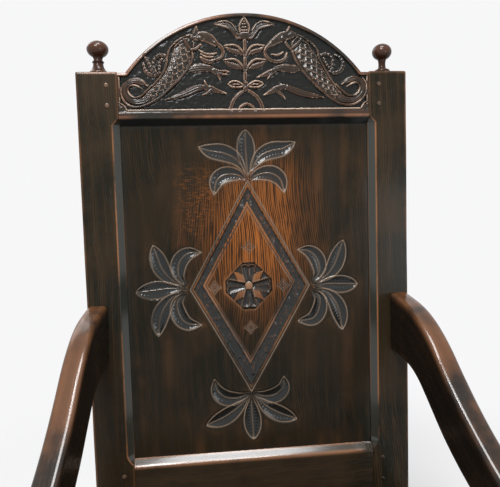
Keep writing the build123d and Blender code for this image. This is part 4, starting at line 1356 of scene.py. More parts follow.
    def carve_rosette(self, relief: Relief) -> None:
        """Cuts the rosette: four hollowed heart-shaped petals, four sharp sepals and a round button."""
        x, s = relief.x - self.rosette[0], relief.s - self.rosette[1]
        radius, bearing = np.hypot(x, s), np.arctan2(s, x)
        chosen = np.flatnonzero(radius < self.rosette_size + 5.0)
        radius, bearing = radius[chosen], bearing[chosen]
        quarter = (bearing + math.pi / 4) % (math.pi / 2) - math.pi / 4
        size = self.rosette_size
        along, across = radius * np.cos(quarter), radius * np.abs(np.sin(quarter))
        rim = size * 1.04
        ground = smooth(0.8, -0.8, np.maximum(along - rim, (along + across) / math.sqrt(2) - rim * 0.88))
        height = relief.h[chosen] - 3.8 * ground
        sepal_half = 7.5 * np.clip((size * 1.02 - radius) / (size * 0.55), 0.0, 1.0)
        sepal_gap = (math.pi / 4 - np.abs(quarter)) * radius - sepal_half
        sepal = smooth(0.4, -0.4, sepal_gap) * ground
        height = height * (1 - sepal) + (self.face - 0.5 - 0.12 * np.abs(sepal_half + sepal_gap)) * sepal
        petal_end = size * 0.985 - 2.0 * soft_line(across, 2.6) - 3.0 * (across / 13.0) ** 4
        petal_gap = np.maximum(along - petal_end, across - 4.6 - 0.26 * along)
        petal = smooth(0.5, -0.5, petal_gap)
        dish = smooth(-0.4, -5.5, petal_gap)
        ridge = soft_line(across, 1.6) * smooth(size * 0.2, size * 0.5, radius)
        height = height * (1 - petal) + (self.face - 0.2 - 2.8 * dish + 0.9 * ridge * dish) * petal
        button = smooth(self.button, self.button - 1.0, radius)
        dome = np.sqrt(np.clip(1 - (radius / self.button) ** 2, 0, 1))
        height = height * (1 - button) + (self.face - 1.6 + 1.9 * dome) * button
        moat = soft_line(radius - 7.6, 0.9)
        relief.h[chosen] = height - 0.8 * moat
        relief.quiet[chosen] += ground
        open_sepal = sepal * (1 - petal)
        relief.recess[chosen] += ground * (1 - open_sepal) * (1 - button) * (0.95 - 0.25 * petal) + 0.5 * moat
        relief.worn[chosen] += 0.9 * button + 0.95 * open_sepal
        # Painted highlight: pale lines along the petals' outlines and on the button.
        relief.bright[chosen] += 0.35 * soft_line(petal_gap, 0.8) + 0.3 * button

    def carve_star(self, relief: Relief, centre: Point) -> None:
        """Scribes one four-pointed star with a small lozenge in it.

        Args:
            relief: the panel's face.
            centre: the star's middle.
        """
        x, s = np.abs(relief.x - centre[0]), np.abs(relief.s - centre[1])
        hollowness = 0.62
        star = (x**hollowness + s**hollowness) ** (1 / hollowness) - self.star_size
        for line, depth in ((star * 0.45, 0.8), ((x + s - 3.4) * 0.7, 0.6)):
            relief.h -= depth * soft_line(line, 0.7)
            # Painted highlight: a pale line just outside each scribed line, near the star.
            relief.bright += 0.3 * soft_line(line - 1.1, 0.7) * (np.hypot(x, s) < self.star_size + 1.0)
            relief.recess += 0.5 * soft_line(line, 0.7)

    def build(self) -> None:
        """Makes the panel."""
        columns = round(2 * self.half_width / self.step)
        rows = round((self.high - self.low) / self.step)
        deselect_all()
        bpy.ops.mesh.primitive_grid_add(x_subdivisions=columns, y_subdivisions=rows, size=1.0)
        piece = bpy.context.object
        net = places_of(piece.data)
        set_places(piece.data, net * (2 * self.half_width, self.high - self.low, 1.0))
        net = places_of(piece.data)
        near = self.touched(net[:, 0], net[:, 1] + (self.low + self.high) / 2)
        enter_edit(Pick.FACES, "DESELECT")
        self.select_faces(piece, near)
        bpy.ops.mesh.subdivide(number_cuts=self.cuts)
        leave_edit()
        net = places_of(piece.data)
        x, s = net[:, 0], net[:, 1] + (self.low + self.high) / 2
        planed = 0.18 * value_noise(x, s * 0.25, 22.0, 21)
        relief = Relief(x, s, self.face + planed, edges_of(piece.data))
        self.carve_band(relief)
        for leaf in self.leaves():
            self.carve_leaf(relief, leaf)
        self.carve_rosette(relief)
        for star in self.stars:
            self.carve_star(relief, star)
        relief.recess = np.clip(relief.recess, 0, 1)
        relief.age(scale=0.45, rounds=4)
        # Painted shade: the panel darkens within 7 mm of the frame, where it meets the rails and stiles.
        ends = np.minimum(s - self.low - self.groove, self.high - self.groove - s)
        edge = np.minimum(self.half_width - self.groove - np.abs(x), ends)
        relief.recess = np.clip(relief.recess + 0.3 * smooth(7.0, 0.0, edge), 0, 1)
        set_places(piece.data, self.plane.world(x, s, relief.h))
        self.close_back(piece, self.tongue - self.face, len(x))
        self.thin_back(piece)
        relief.store(piece.data)
        smooth_shading(self.smooth_angle)
        finish_piece(piece, "carved_back_panel", self.finish, ["back_panel"])

    def select_faces(self, piece: Object, near: Array) -> None:
        """Selects the faces that have a vertex near the carving."""
        net = bmesh.from_edit_mesh(piece.data)
        net.verts.ensure_lookup_table()
        for face in net.faces:
            face.select_set(any(near[vertex.index] for vertex in face.verts))
        bmesh.update_edit_mesh(piece.data)

    def thin_back(self, piece: Object) -> None:
        """Leaves the panel's back thick in the middle, feathered to its tongues."""
        enter_edit(Pick.FACES, "DESELECT")
        net = bmesh.from_edit_mesh(piece.data)
        max(net.faces, key=lambda face: face.calc_area()).select_set(True)
        bmesh.update_edit_mesh(piece.data)
        bpy.ops.mesh.inset(thickness=self.thinned_width * MM, depth=self.field_rise * MM)
        bpy.ops.mesh.select_more()
        bpy.ops.mesh.dissolve_limited(angle_limit=FLAT_ANGLE)
        bpy.ops.mesh.mark_sharp()
        leave_edit()


# ---- The frame's timbers ----


@dataclass
class RearPost(Piece):
    """One rear post: upright to the seat, raked above it, chamfered along the panel."""

    side: int
    outer: float = 250.0
    width: float = 60.0
    thick: float = 50.0
    height: float = 690.7
    chamfer: float = 10.0
    chamfer_foot: float = 92.0
    run_out: float = 17.0
    chamfer_top: float = 623.0
    arris: float = 1.1
    softness: tuple[float, ...] = (2.6, 2.4, 1.6)
    foot_rings: tuple[Point, ...] = ((0.0, 2.0), (1.5, 0.4))
    top_rings: tuple[Point, ...] = ((1.8, 0.0), (0.7, 0.5), (0.0, 1.8))
    lower_step: float = 12.0
    step: float = 9.0

    def chamfer_at(self, s: float) -> float:
        """The inner front chamfer's width.

        Args:
            s: the height on the slope.

        Returns:
            The width in millimetres, which is the plain arris's above and below the chamfer.
        """
        if s < self.chamfer_foot or s > self.chamfer_top:
            return self.arris
        rise = min(1.0, (s - self.chamfer_foot) / self.run_out)
        mitre = min(1.0, (self.chamfer_top - s) / self.chamfer)
        return self.arris + (self.chamfer - self.arris) * min(math.sin(rise * math.pi / 2), mitre)

    def section(self, s: float, inset: float) -> tuple[Array, Array]:
        """The post's section.

        Args:
            s: the height on the slope.
            inset: how much smaller the section is on all sides.

        Returns:
            Points across and outwards in millimetres, and how rubbed each one is.
        """
        chamfer = self.chamfer_at(s)
        seed = 30 + self.side
        sway = 0.25 + 0.25 * float(value_noise(s, 3.0, 70.0, seed))
        dish = 0.15 + 0.15 * float(value_noise(s, 9.0, 45.0, seed + 5))
        outer, inner = self.outer - sway - inset, self.outer - self.width + inset
        front, rear = -dish - inset, -self.thick + inset + dish
        corners = [(outer, front), (outer, rear), (inner, rear)]
        corners += [(inner, front - chamfer), (inner + chamfer, front)]
        soft = min(0.8, chamfer)
        ring, rubbed = soft_ring(corners, (*self.softness, soft, soft), 0.9)
        wear = rubbed * np.repeat((0.4, 0.5, 0.25, 0.4, 0.95 if chamfer > 3.0 else 0.3), CORNER_POINTS)
        ring[:, 0] *= self.side
        return ring, wear

    def painted_sheen(self, s: float) -> Array:
        """How much painted sheen each point of the section has: the chamfer takes a lighter grey-green that
        paints a reflection.
        """
        marks = np.zeros(5 * CORNER_POINTS)
        last = 4 * CORNER_POINTS
        marks[last - 3 : last + 2] = smooth(3.0, 8.0, np.array(self.chamfer_at(s)))
        return marks

    def build(self) -> None:
        """Makes the post."""
        loft = Loft()
        bend = SEAT_LEVEL - self.thick * (1 / math.cos(RAKE) - 1) / math.tan(RAKE)
        lower = [(float(z), 0.0) for z in np.arange(10.0, SEAT_LEVEL - 15.0, self.lower_step)]
        for z, inset in [*self.foot_rings, *lower]:
            ring, wear = self.section(z - SEAT_LEVEL, inset)
            y = self.plane.foot_y - ring[:, 1]
            loft.ring(np.column_stack([ring[:, 0], y, np.full(len(ring), z)]) * MM, wear)
        ring, wear = self.section(0.0, 0.0)
        slant = SEAT_LEVEL + ring[:, 1] / self.thick * (SEAT_LEVEL - bend)
        loft.ring(np.column_stack([ring[:, 0], self.plane.foot_y - ring[:, 1], slant]) * MM, wear)
        foot, top = self.chamfer_foot, self.chamfer_top
        heights = list(np.arange(14.0, foot - 4.0, self.step)) + [foot - 0.5]
        heights += list(foot + self.run_out * np.linspace(0.02, 1.0, 8))
        heights += list(np.arange(foot + self.run_out + self.step, top - self.chamfer - 3.0, self.step))
        heights += list(top - self.chamfer * np.linspace(1.0, 0.0, 6)) + [top + 0.5]
        heights += list(np.arange(top + self.step, self.height - 4.0, self.step))
        top_rings = [(self.height - below, inset) for below, inset in self.top_rings]
        for s, inset in [(s, 0.0) for s in heights] + top_rings:
            ring, wear = self.section(s, inset)
            if s > self.height - 2.0:
                wear = np.maximum(wear, 0.7)
            loft.ring(self.plane.world(ring[:, 0], s, ring[:, 1]), wear, self.painted_sheen(s))
        name = sided("rear_post", self.side)
        finish_piece(loft.build(35.0), "waxed_" + name, self.finish, [name])


def rotated(way: Array, angle: float) -> Array:
    """A direction, turned by an angle in radians."""
    across, along = way
    cosine, sine = math.cos(angle), math.sin(angle)
    return np.array([across * cosine - along * sine, across * sine + along * cosine])


def arc_chain(points: Sequence[Point], heading: Point) -> Array:
    """Walks along arcs that each leave in the direction in which the one before arrived.

    Args:
        points: the ends of the arcs.
        heading: the first arc's direction.

    Returns:
        Points along the arcs.
    """
    walk = [np.array(points[0])]
    direction = np.array(heading) / np.linalg.norm(heading)
    for start, end in zip(points, points[1:]):
        chord = np.array(end) - np.array(start)
        length = np.linalg.norm(chord)
        chord_way = chord / length
        half_turn = math.asin(direction[0] * chord_way[1] - direction[1] * chord_way[0])
        for t in np.linspace(0.0, 1.0, 25)[1:]:
            angle = half_turn * t
            reach = length * (math.sin(angle) / math.sin(half_turn) if abs(half_turn) > 1e-6 else t)
            walk.append(np.array(start) + rotated(chord_way, angle - half_turn) * reach)
        direction = rotated(direction, 2 * half_turn)
    return np.array(walk)


@dataclass
class Arm(Piece):
    """One arm: swept down from the rear post and out to the front post, rubbed round by hands."""

    side: int
    thick: float = 30.0
    rounding: float = 7.0
    post_x: float = 268.0
    post_run: float = 367.0
    rear_x: float = 235.0
    tenon_middle: float = 294.9
    top: tuple[Point, ...] = ((-56, 781.5), (-4, 779.5), (50, 765.5), (101, 734.5), (193, 675), (418, 609))
    belly: tuple[Point, ...] = (
        (342, 566), (268, 577), (188, 604), (105, 647), (64, 674), (16, 690), (-56, 686)
    )
    nose_radius: float = 21.0
    nose_centre: Point = (418.0, 588.0)
    scoop: tuple[Point, ...] = ((396.0, 566.0), (401.0, 574.5), (409.0, 569.2), (418.0, 567.0))
    rear_stations: Triple = (-41.0, 20.0, 385.0)
    nose_stations: tuple[float, ...] = (392.0, 396.0, 398.5, 401.0, 404.0, 409.0, 414.0)
    bearing_run: Point = (345.0, 396.5)
    tip_half: float = 0.6

    def curves(self) -> tuple[Array, Array]:
        """The upper and lower outlines, as distances forwards and heights, in rising order."""
        centre_run, centre_height = self.nose_centre
        turn = np.linspace(0.0, math.pi / 2, 14)[1:]
        run, rise = centre_run + self.nose_radius * np.sin(turn), self.nose_radius * np.cos(turn)
        nose, under = (np.column_stack([run, centre_height + way * rise]) for way in (1, -1))
        ridge = arc_chain(self.top, (1.0, 0.0))
        belly = arc_chain(self.belly, (-1.0, 0.0))[::-1]
        return np.vstack([ridge, nose]), np.vstack([belly, self.scoop, under])

    def height_at(self, run: float, outline: Array) -> float:
        """An outline's height at this distance forwards."""
        return float(np.interp(run, outline[:, 0], outline[:, 1]))

    def build(self) -> None:
        """Makes the arm."""
        upper, lower = self.curves()
        slope = (self.post_x - self.rear_x) / (self.post_run + self.tenon_middle * math.sin(RAKE))
        splay = math.atan(slope)
        origin_x = self.rear_x + self.tenon_middle * math.sin(RAKE) * slope
        tip = self.nose_centre[0] + self.nose_radius
        heel, bend, front = self.rear_stations
        around = self.nose_radius * np.sin(np.linspace(0.0, 1.0, 14) * math.pi / 2)
        stations = np.linspace(heel, bend, 12)[:-1], np.linspace(bend, front, 62), self.nose_stations
        stations = np.concatenate([*stations, self.nose_centre[0] + around])
        loft, grain = Loft(), []
        for number, run in enumerate(stations):
            lean = -math.tan(RAKE) / math.cos(splay) * smooth(90.0, heel, np.array(run))
            reach_high = reach_low = run
            middle = self.height_at(run, upper) / 2 + self.height_at(run, lower) / 2
            for _ in range(4):
                high, low = self.height_at(reach_high, upper), self.height_at(reach_low, lower)
                reach_high, reach_low = run + lean * (high - middle), run + lean * (low - middle)
            if run >= tip - 0.01:
                high, low = self.nose_centre[1] + self.tip_half, self.nose_centre[1] - self.tip_half
            taper = max(0.0, run - (tip - self.rounding))
            rounded = math.sqrt(max(0.0, 1 - (taper / self.rounding) ** 2))
            half = self.thick / 2 - self.rounding * (1 - rounded) * 0.8
            worn_in = 0.5 + 0.5 * float(value_noise(run, 2.0, 60.0, 50 + self.side))
            half -= 0.5 * worn_in
            soft = min(self.rounding, (high - low) * 0.45)
            bearing = 1.6 if self.bearing_run[0] < run < self.bearing_run[1] else soft
            corners = [(half, high), (-half, high), (-half, low), (half, low)]
            ring, rubbed = soft_ring(corners, (soft, soft, bearing, bearing), 5.0)
            wear = np.array((0.0, 0.2, 0.6, 0.9, 1.0, 0.9, 0.9, 1.0, 0.9, 0.6, 0.2, 0.0) + (0.0,) * 12)
            wear = wear * (0.85 + 0.15 * float(value_noise(run, 7.0, 25.0, 60 + self.side))) + 0.2 * rubbed
            forward = run + lean * (ring[:, 1] - middle)
            limit = -(ring[:, 1] - SEAT_LEVEL) * math.tan(RAKE) / math.cos(splay)
            limit -= ring[:, 0] * math.tan(splay)
            forward = np.maximum(forward, limit) if number else limit
            x = origin_x + forward * math.sin(splay) + ring[:, 0] * math.cos(splay)
            y = self.plane.foot_y - forward * math.cos(splay) + ring[:, 0] * math.sin(splay)
            loft.ring(np.column_stack([self.side * x, y, ring[:, 1]]) * MM, wear)
            grain.append(np.column_stack([ring[:, 0], ring[:, 1] - middle, np.full(len(ring), run)]) * MM)
        piece = loft.build(50.0)
        set_vectors(piece.data, "grain", np.concatenate(grain) + (self.side * 0.3, 0.0, 0.0))
        name = sided("arm", self.side)
        finish_piece(piece, "polished_" + name, self.finish, [name])


class Moulding(Enum):
    """The shapes that a turner strings together, each with the number of points that draw it."""

    STRAIGHT = 3
    BEAD = 9
    BALL = 18
    COVE = 8
    SWELL = 12


@dataclass(frozen=True)
class Turned:
    """One stretch of a turned outline: its heights, its radii at both ends and how far it bulges."""

    kind: Moulding
    low: float
    high: float
    first: float
    last: float
    extra: float = 0.0

    def radii(self) -> list[Point]:
        """Heights and radii along the stretch."""
        middle, reach = (self.low + self.high) / 2, (self.high - self.low) / 2
        result = []
        for t in np.linspace(0.0, 1.0, self.kind.value):
            height = self.low + (self.high - self.low) * t
            radius = self.first + (self.last - self.first) * t
            bulge = self.extra * math.sin(math.pi * t)
            if self.kind in (Moulding.BEAD, Moulding.BALL):
                height = middle - reach * math.cos(math.pi * t)
            if self.kind is Moulding.BALL:
                radius = max(bulge, self.first if t < 0.5 else self.last)
            else:
                radius += -bulge if self.kind is Moulding.COVE else bulge
            result.append((float(height), float(radius)))
        return result


def outline_of(stretches: Sequence[Turned]) -> list[Point]:
    """Heights and radii of a whole turned piece."""
    outline: list[Point] = []
    for stretch in stretches:
        for point in stretch.radii():
            if not outline or abs(point[0] - outline[-1][0]) + abs(point[1] - outline[-1][1]) > 0.05:
                outline.append(point)
    return outline


LEG_OUTLINE = (
    Turned(Moulding.SWELL, 0.0, 33.0, 16.0, 17.0, 2.4),
    Turned(Moulding.STRAIGHT, 33.5, 43.0, 19.5, 36.0),
    Turned(Moulding.STRAIGHT, 43.0, 126.0, 36.0, 36.0),
    Turned(Moulding.COVE, 126.0, 135.5, 36.0, 19.0, 1.5),
    Turned(Moulding.BEAD, 136.0, 146.0, 16.8, 16.8, 3.4),
    Turned(Moulding.COVE, 146.5, 152.0, 16.8, 15.6, 1.0),
    Turned(Moulding.SWELL, 152.0, 286.0, 15.2, 14.6, 1.6),
    Turned(Moulding.COVE, 286.0, 291.5, 15.4, 16.8, 1.0),
    Turned(Moulding.BEAD, 292.0, 302.0, 16.8, 16.8, 3.4),
    Turned(Moulding.COVE, 302.5, 312.0, 19.0, 36.0, 1.5),
    Turned(Moulding.STRAIGHT, 312.0, 446.0, 36.0, 36.0),
    Turned(Moulding.COVE, 446.0, 455.5, 36.0, 19.0, 1.5),
    Turned(Moulding.BEAD, 456.0, 465.0, 16.6, 16.6, 3.4),
    Turned(Moulding.COVE, 465.5, 471.0, 16.0, 14.4, 1.0),
    Turned(Moulding.SWELL, 471.0, 545.0, 14.0, 13.4, 1.4),
    Turned(Moulding.COVE, 545.0, 552.0, 14.0, 20.0, 1.6),
    Turned(Moulding.BEAD, 552.5, 565.9, 18.6, 18.6, 2.9),
)
LEFT_FINIAL_OUTLINE = (
    Turned(Moulding.BEAD, 0.0, 5.2, 13.2, 13.2, 1.4),
    Turned(Moulding.COVE, 5.6, 18.0, 12.4, 7.4, 1.3),
    Turned(Moulding.BEAD, 18.2, 21.0, 7.2, 7.2, 1.6),
    Turned(Moulding.COVE, 21.2, 26.6, 7.2, 7.4, 0.8),
    Turned(Moulding.BALL, 26.0, 51.0, 7.4, 0.6, 16.2),
)
RIGHT_FINIAL_OUTLINE = (
    Turned(Moulding.BEAD, 0.0, 7.0, 10.6, 10.6, 1.9),
    Turned(Moulding.COVE, 7.2, 12.5, 9.0, 5.6, 1.0),
    Turned(Moulding.COVE, 12.5, 22.5, 5.6, 6.4, 0.5),
    Turned(Moulding.BALL, 22.0, 47.4, 6.4, 0.6, 15.3),
)


@dataclass
class FrontPost(Piece):
    """One front post: a square billet, turned between its joints."""

    side: int
    x: float = 268.0
    run: float = 367.0
    half: float = 25.0
    squareness: float = 14.0
    points: int = 64

    def build(self) -> None:
        """Makes the post."""
        bearing = bearings(self.points)
        flat = np.abs(np.cos(bearing)) ** self.squareness + np.abs(np.sin(bearing)) ** self.squareness
        square = self.half / flat ** (1 / self.squareness)
        loft = Loft()
        for height, radius in self.fine_outline():
            reach = np.minimum(square, radius)
            corner = smooth(29.0, 32.5, reach)
            turned = 0.35 if radius < 24.0 else 0.0
            x = self.side * self.x + reach * np.cos(bearing)
            y = self.plane.foot_y - self.run + reach * np.sin(bearing)
            rubbed = np.clip(0.8 * corner + turned * smooth(17.0, 20.0, reach), 0, 1)
            loft.ring(np.column_stack([x, y, np.full(self.points, height)]) * MM, rubbed)
        name = sided("front_post", self.side)
        finish_piece(loft.build(38.0), "turned_" + name, self.finish, [name])

    def fine_outline(self) -> list[Point]:
        """The outline, with its long stretches divided."""
        coarse, fine = outline_of(LEG_OUTLINE), []
        for (low, first), (high, last) in zip(coarse, coarse[1:]):
            count = max(1, int((high - low) / 10.0))
            for share in np.arange(count) / count:
                fine.append((low + (high - low) * share, first + (last - first) * share))
        return [*fine, coarse[-1]]


@dataclass
class Finials(Piece):
    """The two finials, turned to different patterns, on the rear posts' raked tops."""

    x: float = 220.0
    height: float = 690.7
    depth: float = -25.0
    points: int = 40

    def build(self) -> None:
        """Makes both finials and joins them."""
        bearing = bearings(self.points)
        pieces = []
        for side, outline in ((-1, LEFT_FINIAL_OUTLINE), (1, RIGHT_FINIAL_OUTLINE)):
            loft = Loft()
            for height, radius in outline_of(outline):
                x = side * self.x + radius * np.cos(bearing)
                n = self.depth + radius * np.sin(bearing)
                rubbed = np.full(self.points, 0.25 + 0.45 * float(smooth(12.0, 15.0, np.array(radius))))
                loft.ring(self.plane.world(x, self.height + height - 0.1, n), rubbed)
            pieces.append(loft.build(38.0))
        finish_piece(join(pieces), "turned_finials", self.finish, ["finials"])


def join(pieces: Sequence[Object]) -> Object:
    """Joins pieces into one mesh."""
    deselect_all()
    for piece in pieces:
        piece.select_set(True)
    bpy.context.view_layer.objects.active = pieces[0]
    bpy.ops.object.join()
    return bpy.context.object


@dataclass
class Rail:
    """One rail or stretcher between two posts, its arrises rubbed."""

    name: str
    finish: Material
    start: Triple
    end: Triple
    across: Triple
    section: tuple[Point, ...]
    softness: tuple[float, ...] = ()
    wear: float = 0.6
    slot: str = "oak_frame"
    step: float = 14.0
    up: Triple = (0.0, 0.0, 1.0)

    def build(self) -> None:
        """Makes the rail."""
        start, end = np.array(self.start), np.array(self.end)
        count = max(2, int(np.linalg.norm(end - start) / self.step))
        softness = self.softness or (1.8,) * len(self.section)
        loft = Loft()
        for share in np.linspace(0.0, 1.0, count + 1):
            sway = 0.15 + 0.15 * float(value_noise(share * 400.0, len(self.name) * 7.0, 60.0, 71))
            middle = np.mean(np.array(self.section), axis=0)
            shrink = 1 - sway / 30.0
            corners = [tuple(middle + (np.array(corner) - middle) * shrink) for corner in self.section]
            ring, rubbed = soft_ring(corners, softness)
            places = start + (end - start) * share
            places = places + ring[:, :1] * np.array(self.across) + ring[:, 1:] * np.array(self.up)
            loft.ring(places * MM, rubbed * self.wear)
        finish_piece(loft.build(35.0), "waxed_" + self.name, self.finish, [self.name])


@dataclass
class SeatFrame:
    """The four seat rails and the four stretchers."""

    plane: BackPlane
    across: Material
    forward: Material
    opening_half: float = 190.0
    front_half: float = 243.0
    depth: float = 392.0
    post: float = 50.0
    thick: float = 28.0
    set_back: float = 4.0
    back_half: float = 250.0
    front_width_half: float = 293.0
    seat_rail: Point = (340.0, 418.0)
    stretcher: Point = (62.0, 108.0)
    beads: Point = (350.0, 358.0)

    def build(self) -> None:
        """Makes all eight."""
        for kind, heights in (("seat_rail", self.seat_rail), ("stretcher", self.stretcher)):
            self.build_cross(kind, heights)
            for side in (-1, 1):
                self.build_side(kind, heights, side)

    def build_cross(self, kind: str, heights: Point) -> None:
        """Makes the front and the rear rail of one level.

        Args:
            kind: what they are, as their names begin.
            heights: their lower and upper edges.
        """
        low, high = heights
        plain = ((0.0, low), (self.thick, low), (self.thick, high), (0.0, high))
        front, softness = plain, (1.8,) * 4
        if kind == "seat_rail":
            for height in reversed(self.beads):
                front += ((0.0, height + 1.6), (1.4, height), (0.0, height - 1.6))
                softness += (0.4, 0.6, 0.4)
        front_y = self.plane.foot_y - self.depth + self.set_back
        rear_y = self.plane.foot_y + self.post - self.set_back - self.thick
        for name, half, y, section, soft in (
            (kind + "_front", self.front_half, front_y, front, softness),
            (kind + "_rear", self.opening_half, rear_y, plain, ()),
        ):
            Rail(name, self.across, (-half, y, 0.0), (half, y, 0.0), (0.0, 1.0, 0.0), section, soft).build()

    def build_side(self, kind: str, heights: Point, side: int) -> None:
        """Makes one splayed side rail.

        Args:
            kind: what it is, as its name begins.
            heights: its lower and upper edges.
            side: -1 for the left one, 1 for the right one.
        """
        low, high = heights
        run = self.depth - self.post
        splay = math.atan2(self.front_width_half - self.back_half, run)
        width = self.thick / math.cos(splay)
        rear_x = self.back_half - self.set_back
        start = (side * rear_x, self.plane.foot_y, 0.0)
        end = (side * (rear_x + run * math.tan(splay)), self.plane.foot_y - run, 0.0)
        section = ((0.0, low), (width, low), (width, high), (0.0, high))
        Rail(sided(kind, side), self.forward, start, end, (-side, 0.0, 0.0), section).build()


@dataclass
class BackBottomRail(Piece):
    """The back's bottom rail, bevelled along its upper edge to shed dust."""

    half: float = 190.0
    low: float = 12.0
    high: float = 99.0
    bevel_foot: float = 89.4
    panel_face: float = -12.0
    thick: float = 34.0

    def build(self) -> None:
        """Makes the rail."""
        front, rear = -0.2, -self.thick
        section = ((front, self.low), (front, self.bevel_foot), (self.panel_face, self.high))
        section += ((rear, self.high), (rear, self.low))
        origin = self.plane.world(0.0, 0.0, 0.0)
        out = (self.plane.world(0.0, 0.0, 1.0) - origin) / MM
        up = (self.plane.world(0.0, 1.0, 0.0) - origin) / MM
        start, end = ((x, self.plane.foot_y, SEAT_LEVEL) for x in (-self.half, self.half))
        softness = (1.8, 1.5, 1.0, 1.0, 1.8)
        rail = Rail("back_bottom_rail", self.finish, start, end, tuple(out), section, softness)
        rail.wear, rail.slot, rail.up = 0.7, "oak_crest", tuple(up)
        rail.build()


@dataclass
class SeatBoards:
    """The two seat boards, copied from the construction and rubbed at every edge."""

    finish: Material
    softness: float = 1.6
    sharp_angle: float = 35.0
    wear: float = 0.7

    def build(self) -> None:
        """Makes both boards."""
        for node in ("seat_board_front", "seat_board_rear"):
            piece = merged_copy(node)
            enter_edit(Pick.EDGES, "DESELECT")
            bpy.ops.mesh.edges_select_sharp(sharpness=math.radians(self.sharp_angle))
            bpy.ops.mesh.bevel(offset=self.softness * MM, segments=3, profile=0.5, clamp_overlap=True)
            net = bmesh.from_edit_mesh(piece.data)
            rubbed = np.array([vertex.select for vertex in net.verts], dtype=float)
            leave_edit()
            set_values(piece.data, "worn", rubbed * self.wear)
            smooth_shading(self.sharp_angle)
            finish_piece(piece, "worn_" + node, self.finish, [node])


def merged_copy(node: str) -> Object:
    """A copy of a construction node with its triangles joined into whole faces."""
    source = frame["nodes"][node]
    piece = bpy.data.objects.new(node + "_copy", source.data.copy())
    bpy.context.collection.objects.link(piece)
    take_up(piece)
    enter_edit(Pick.VERTS, "SELECT")
    bpy.ops.mesh.remove_doubles(threshold=0.00002)
    bpy.ops.mesh.dissolve_limited(angle_limit=FLAT_ANGLE)
    leave_edit()
    return piece


@dataclass
class Pegs:
    """The riven pegs of one kind of joint, each one where the construction drives it."""

    finish: Material
    node: str
    sides: int = 10
    radius: float = 3.7
    dome: tuple[Point, ...] = ((0.0, 0.62), (0.35, 0.90), (1.0, 1.0))

    def build(self) -> None:
        """Makes the node's pegs and joins them."""
        pieces = [self.make_peg(places, number) for number, places in enumerate(self.islands())]
        finish_piece(join(pieces), "riven_" + self.node, self.finish, [self.node])

    def islands(self) -> list[Array]:
        """Finds the node's pegs.

        Returns:
            Each peg's vertices, in metres.
        """
        mesh = merged_copy(self.node)
        net = bmesh.new()
        net.from_mesh(mesh.data)
        bpy.data.objects.remove(mesh)
        seen: set[int] = set()
        found = []
        for vertex in net.verts:
            if vertex.index in seen:
                continue
            stack, group = [vertex], []
            while stack:
                current = stack.pop()
                if current.index in seen:
                    continue
                seen.add(current.index)
                group.append(tuple(current.co))
                stack += [edge.other_vert(current) for edge in current.link_edges]
            found.append(np.array(group))
        net.free()
        return found

    def make_peg(self, places: Array, number: int) -> Object:
        """Makes one peg, a little out of round and domed at its ends.

        Args:
            places: the vertices of the construction's peg, in metres.
            number: which peg it is.

        Returns:
            The peg.
        """
        centre = places.mean(axis=0)
        axis = np.linalg.svd(places - centre)[2][0]
        reach = np.abs((places - centre) @ axis).max()
        side = np.cross(axis, (0.3, 0.5, 0.8))
        side /= np.linalg.norm(side)
        other = np.cross(axis, side)
        bearing = bearings(self.sides)
        uneven = 1.0 - 0.10 * (0.5 + 0.5 * value_noise(bearing * 3.0, number * 5.0, 2.0, 81))
        loft = Loft()
        for end, rings in ((-1, self.dome), (1, self.dome[::-1])):
            for back, share in rings:
                middle = centre + axis * (end * (reach - back * MM))
                ring = self.ring(middle, side, other, bearing, uneven * share)
                loft.ring(ring, np.full(self.sides, 0.6 if back < 0.9 else 0.2))
        return loft.build(40.0)

    def ring(self, centre: Array, side: Array, other: Array, bearing: Array, radii: Array) -> Array:
        """One ring of the peg's points, in metres."""
        reach = (radii * self.radius * MM)[:, None]
        return centre + reach * (np.cos(bearing)[:, None] * side + np.sin(bearing)[:, None] * other)


PEG_NODES = (
    "crest_rail_pegs", "bottom_rail_pegs", "arm_pegs", "seat_rail_pegs", "stretcher_pegs", "seat_board_pegs"
)


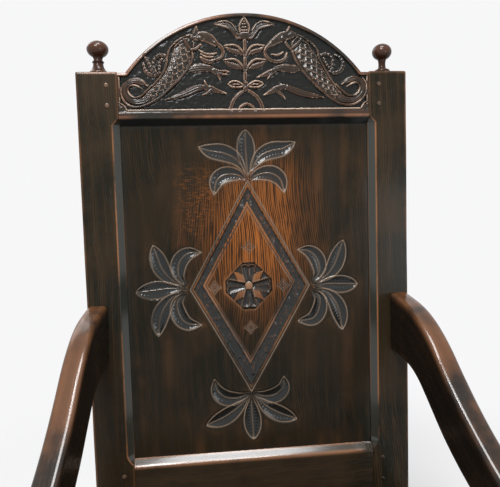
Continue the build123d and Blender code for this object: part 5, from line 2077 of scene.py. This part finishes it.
def main() -> None:
    """Builds the chair's looks round the construction."""
    logging.basicConfig(level=logging.INFO, format="%(message)s")
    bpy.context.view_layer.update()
    bpy.context.scene.view_settings.view_transform = "Standard"
    ViewPoint().build()
    Studio().build()
    plane = BackPlane()
    # The posts' lighter grey-green grime colour paints a sheen on their chamfers.
    upright = OakFinish(
        "dark_oak_upright", Grain.UP, rake=RAKE, grime_shade_and_sheen=colour(0.022, 0.024, 0.018), gloss=0.09, coat=0.13,
        hollow_coat=0.87,
    ).material()
    legs = OakFinish("dark_oak_legs", Grain.UP).material()
    across = OakFinish("dark_oak_across", Grain.ACROSS).material()
    low_rail = OakFinish("polished_oak_across", Grain.ACROSS, roughness=0.28, coat=0.75).material()
    forward = OakFinish("dark_oak_forward", Grain.FORWARD).material()
    # The crest's rim colour paints highlights on its sharpest crests and its fillet.
    crest = OakFinish(
        "carved_oak", Grain.ACROSS, light=colour(0.018, 0.011, 0.007), rubbed=colour(0.205, 0.082, 0.034),
        rim=colour(0.470, 0.345, 0.260), roughness=0.28, gloss=0.06, coat=0.55, hollow_coat=-0.30,
        rubbed_coat=0.25,
    ).material()
    panel = OakFinish(
        "panel_oak", Grain.UP, rake=RAKE, light=colour(0.025, 0.0155, 0.0075),
        glow_centre=tuple(plane.world(8.0, 442.0, -12.0)),
        fleck_centre=tuple(plane.world(-75.0, 500.0, -12.0)), gloss=0.07, coat=0.10, hollow_coat=0.55,
    ).material()
    arms = OakFinish(
        "handled_oak", Grain.LENGTH, dark=colour(0.0085, 0.0070, 0.0055), light=colour(0.020, 0.012, 0.008),
        rubbed=colour(0.125, 0.052, 0.021), roughness=0.26, gloss=0.06, coat=0.25, rubbed_coat=0.5,
    ).material()
    seat = OakFinish(
        "seat_oak", Grain.ACROSS, dark=colour(0.042, 0.022, 0.012), light=colour(0.072, 0.036, 0.019),
        rubbed=colour(0.098, 0.047, 0.023), roughness=0.5, coat=0.05, rubbed_coat=0.1,
    ).material()
    turned = OakFinish(
        "finial_oak", Grain.UP, rake=RAKE, dark=colour(0.013, 0.007, 0.0045),
        light=colour(0.042, 0.018, 0.010), rubbed=colour(0.066, 0.024, 0.011),
        roughness=0.25, gloss=0.06, coat=0.1, rubbed_coat=0.5,
    ).material()
    peg = OakFinish(
        "peg_oak", Grain.FORWARD, light=colour(0.070, 0.045, 0.030), rubbed=colour(0.16, 0.09, 0.05)
    ).material()
    CrestRail(plane, crest).build()
    BackPanel(plane, panel).build()
    BackBottomRail(plane, low_rail).build()
    for side in (-1, 1):
        RearPost(plane, upright, side).build()
        FrontPost(plane, legs, side).build()
        Arm(plane, arms, side).build()
    Finials(plane, turned).build()
    SeatFrame(plane, across, forward).build()
    SeatBoards(seat).build()
    for node in PEG_NODES:
        Pegs(peg, node).build()


if __name__ == "__main__":
    main()
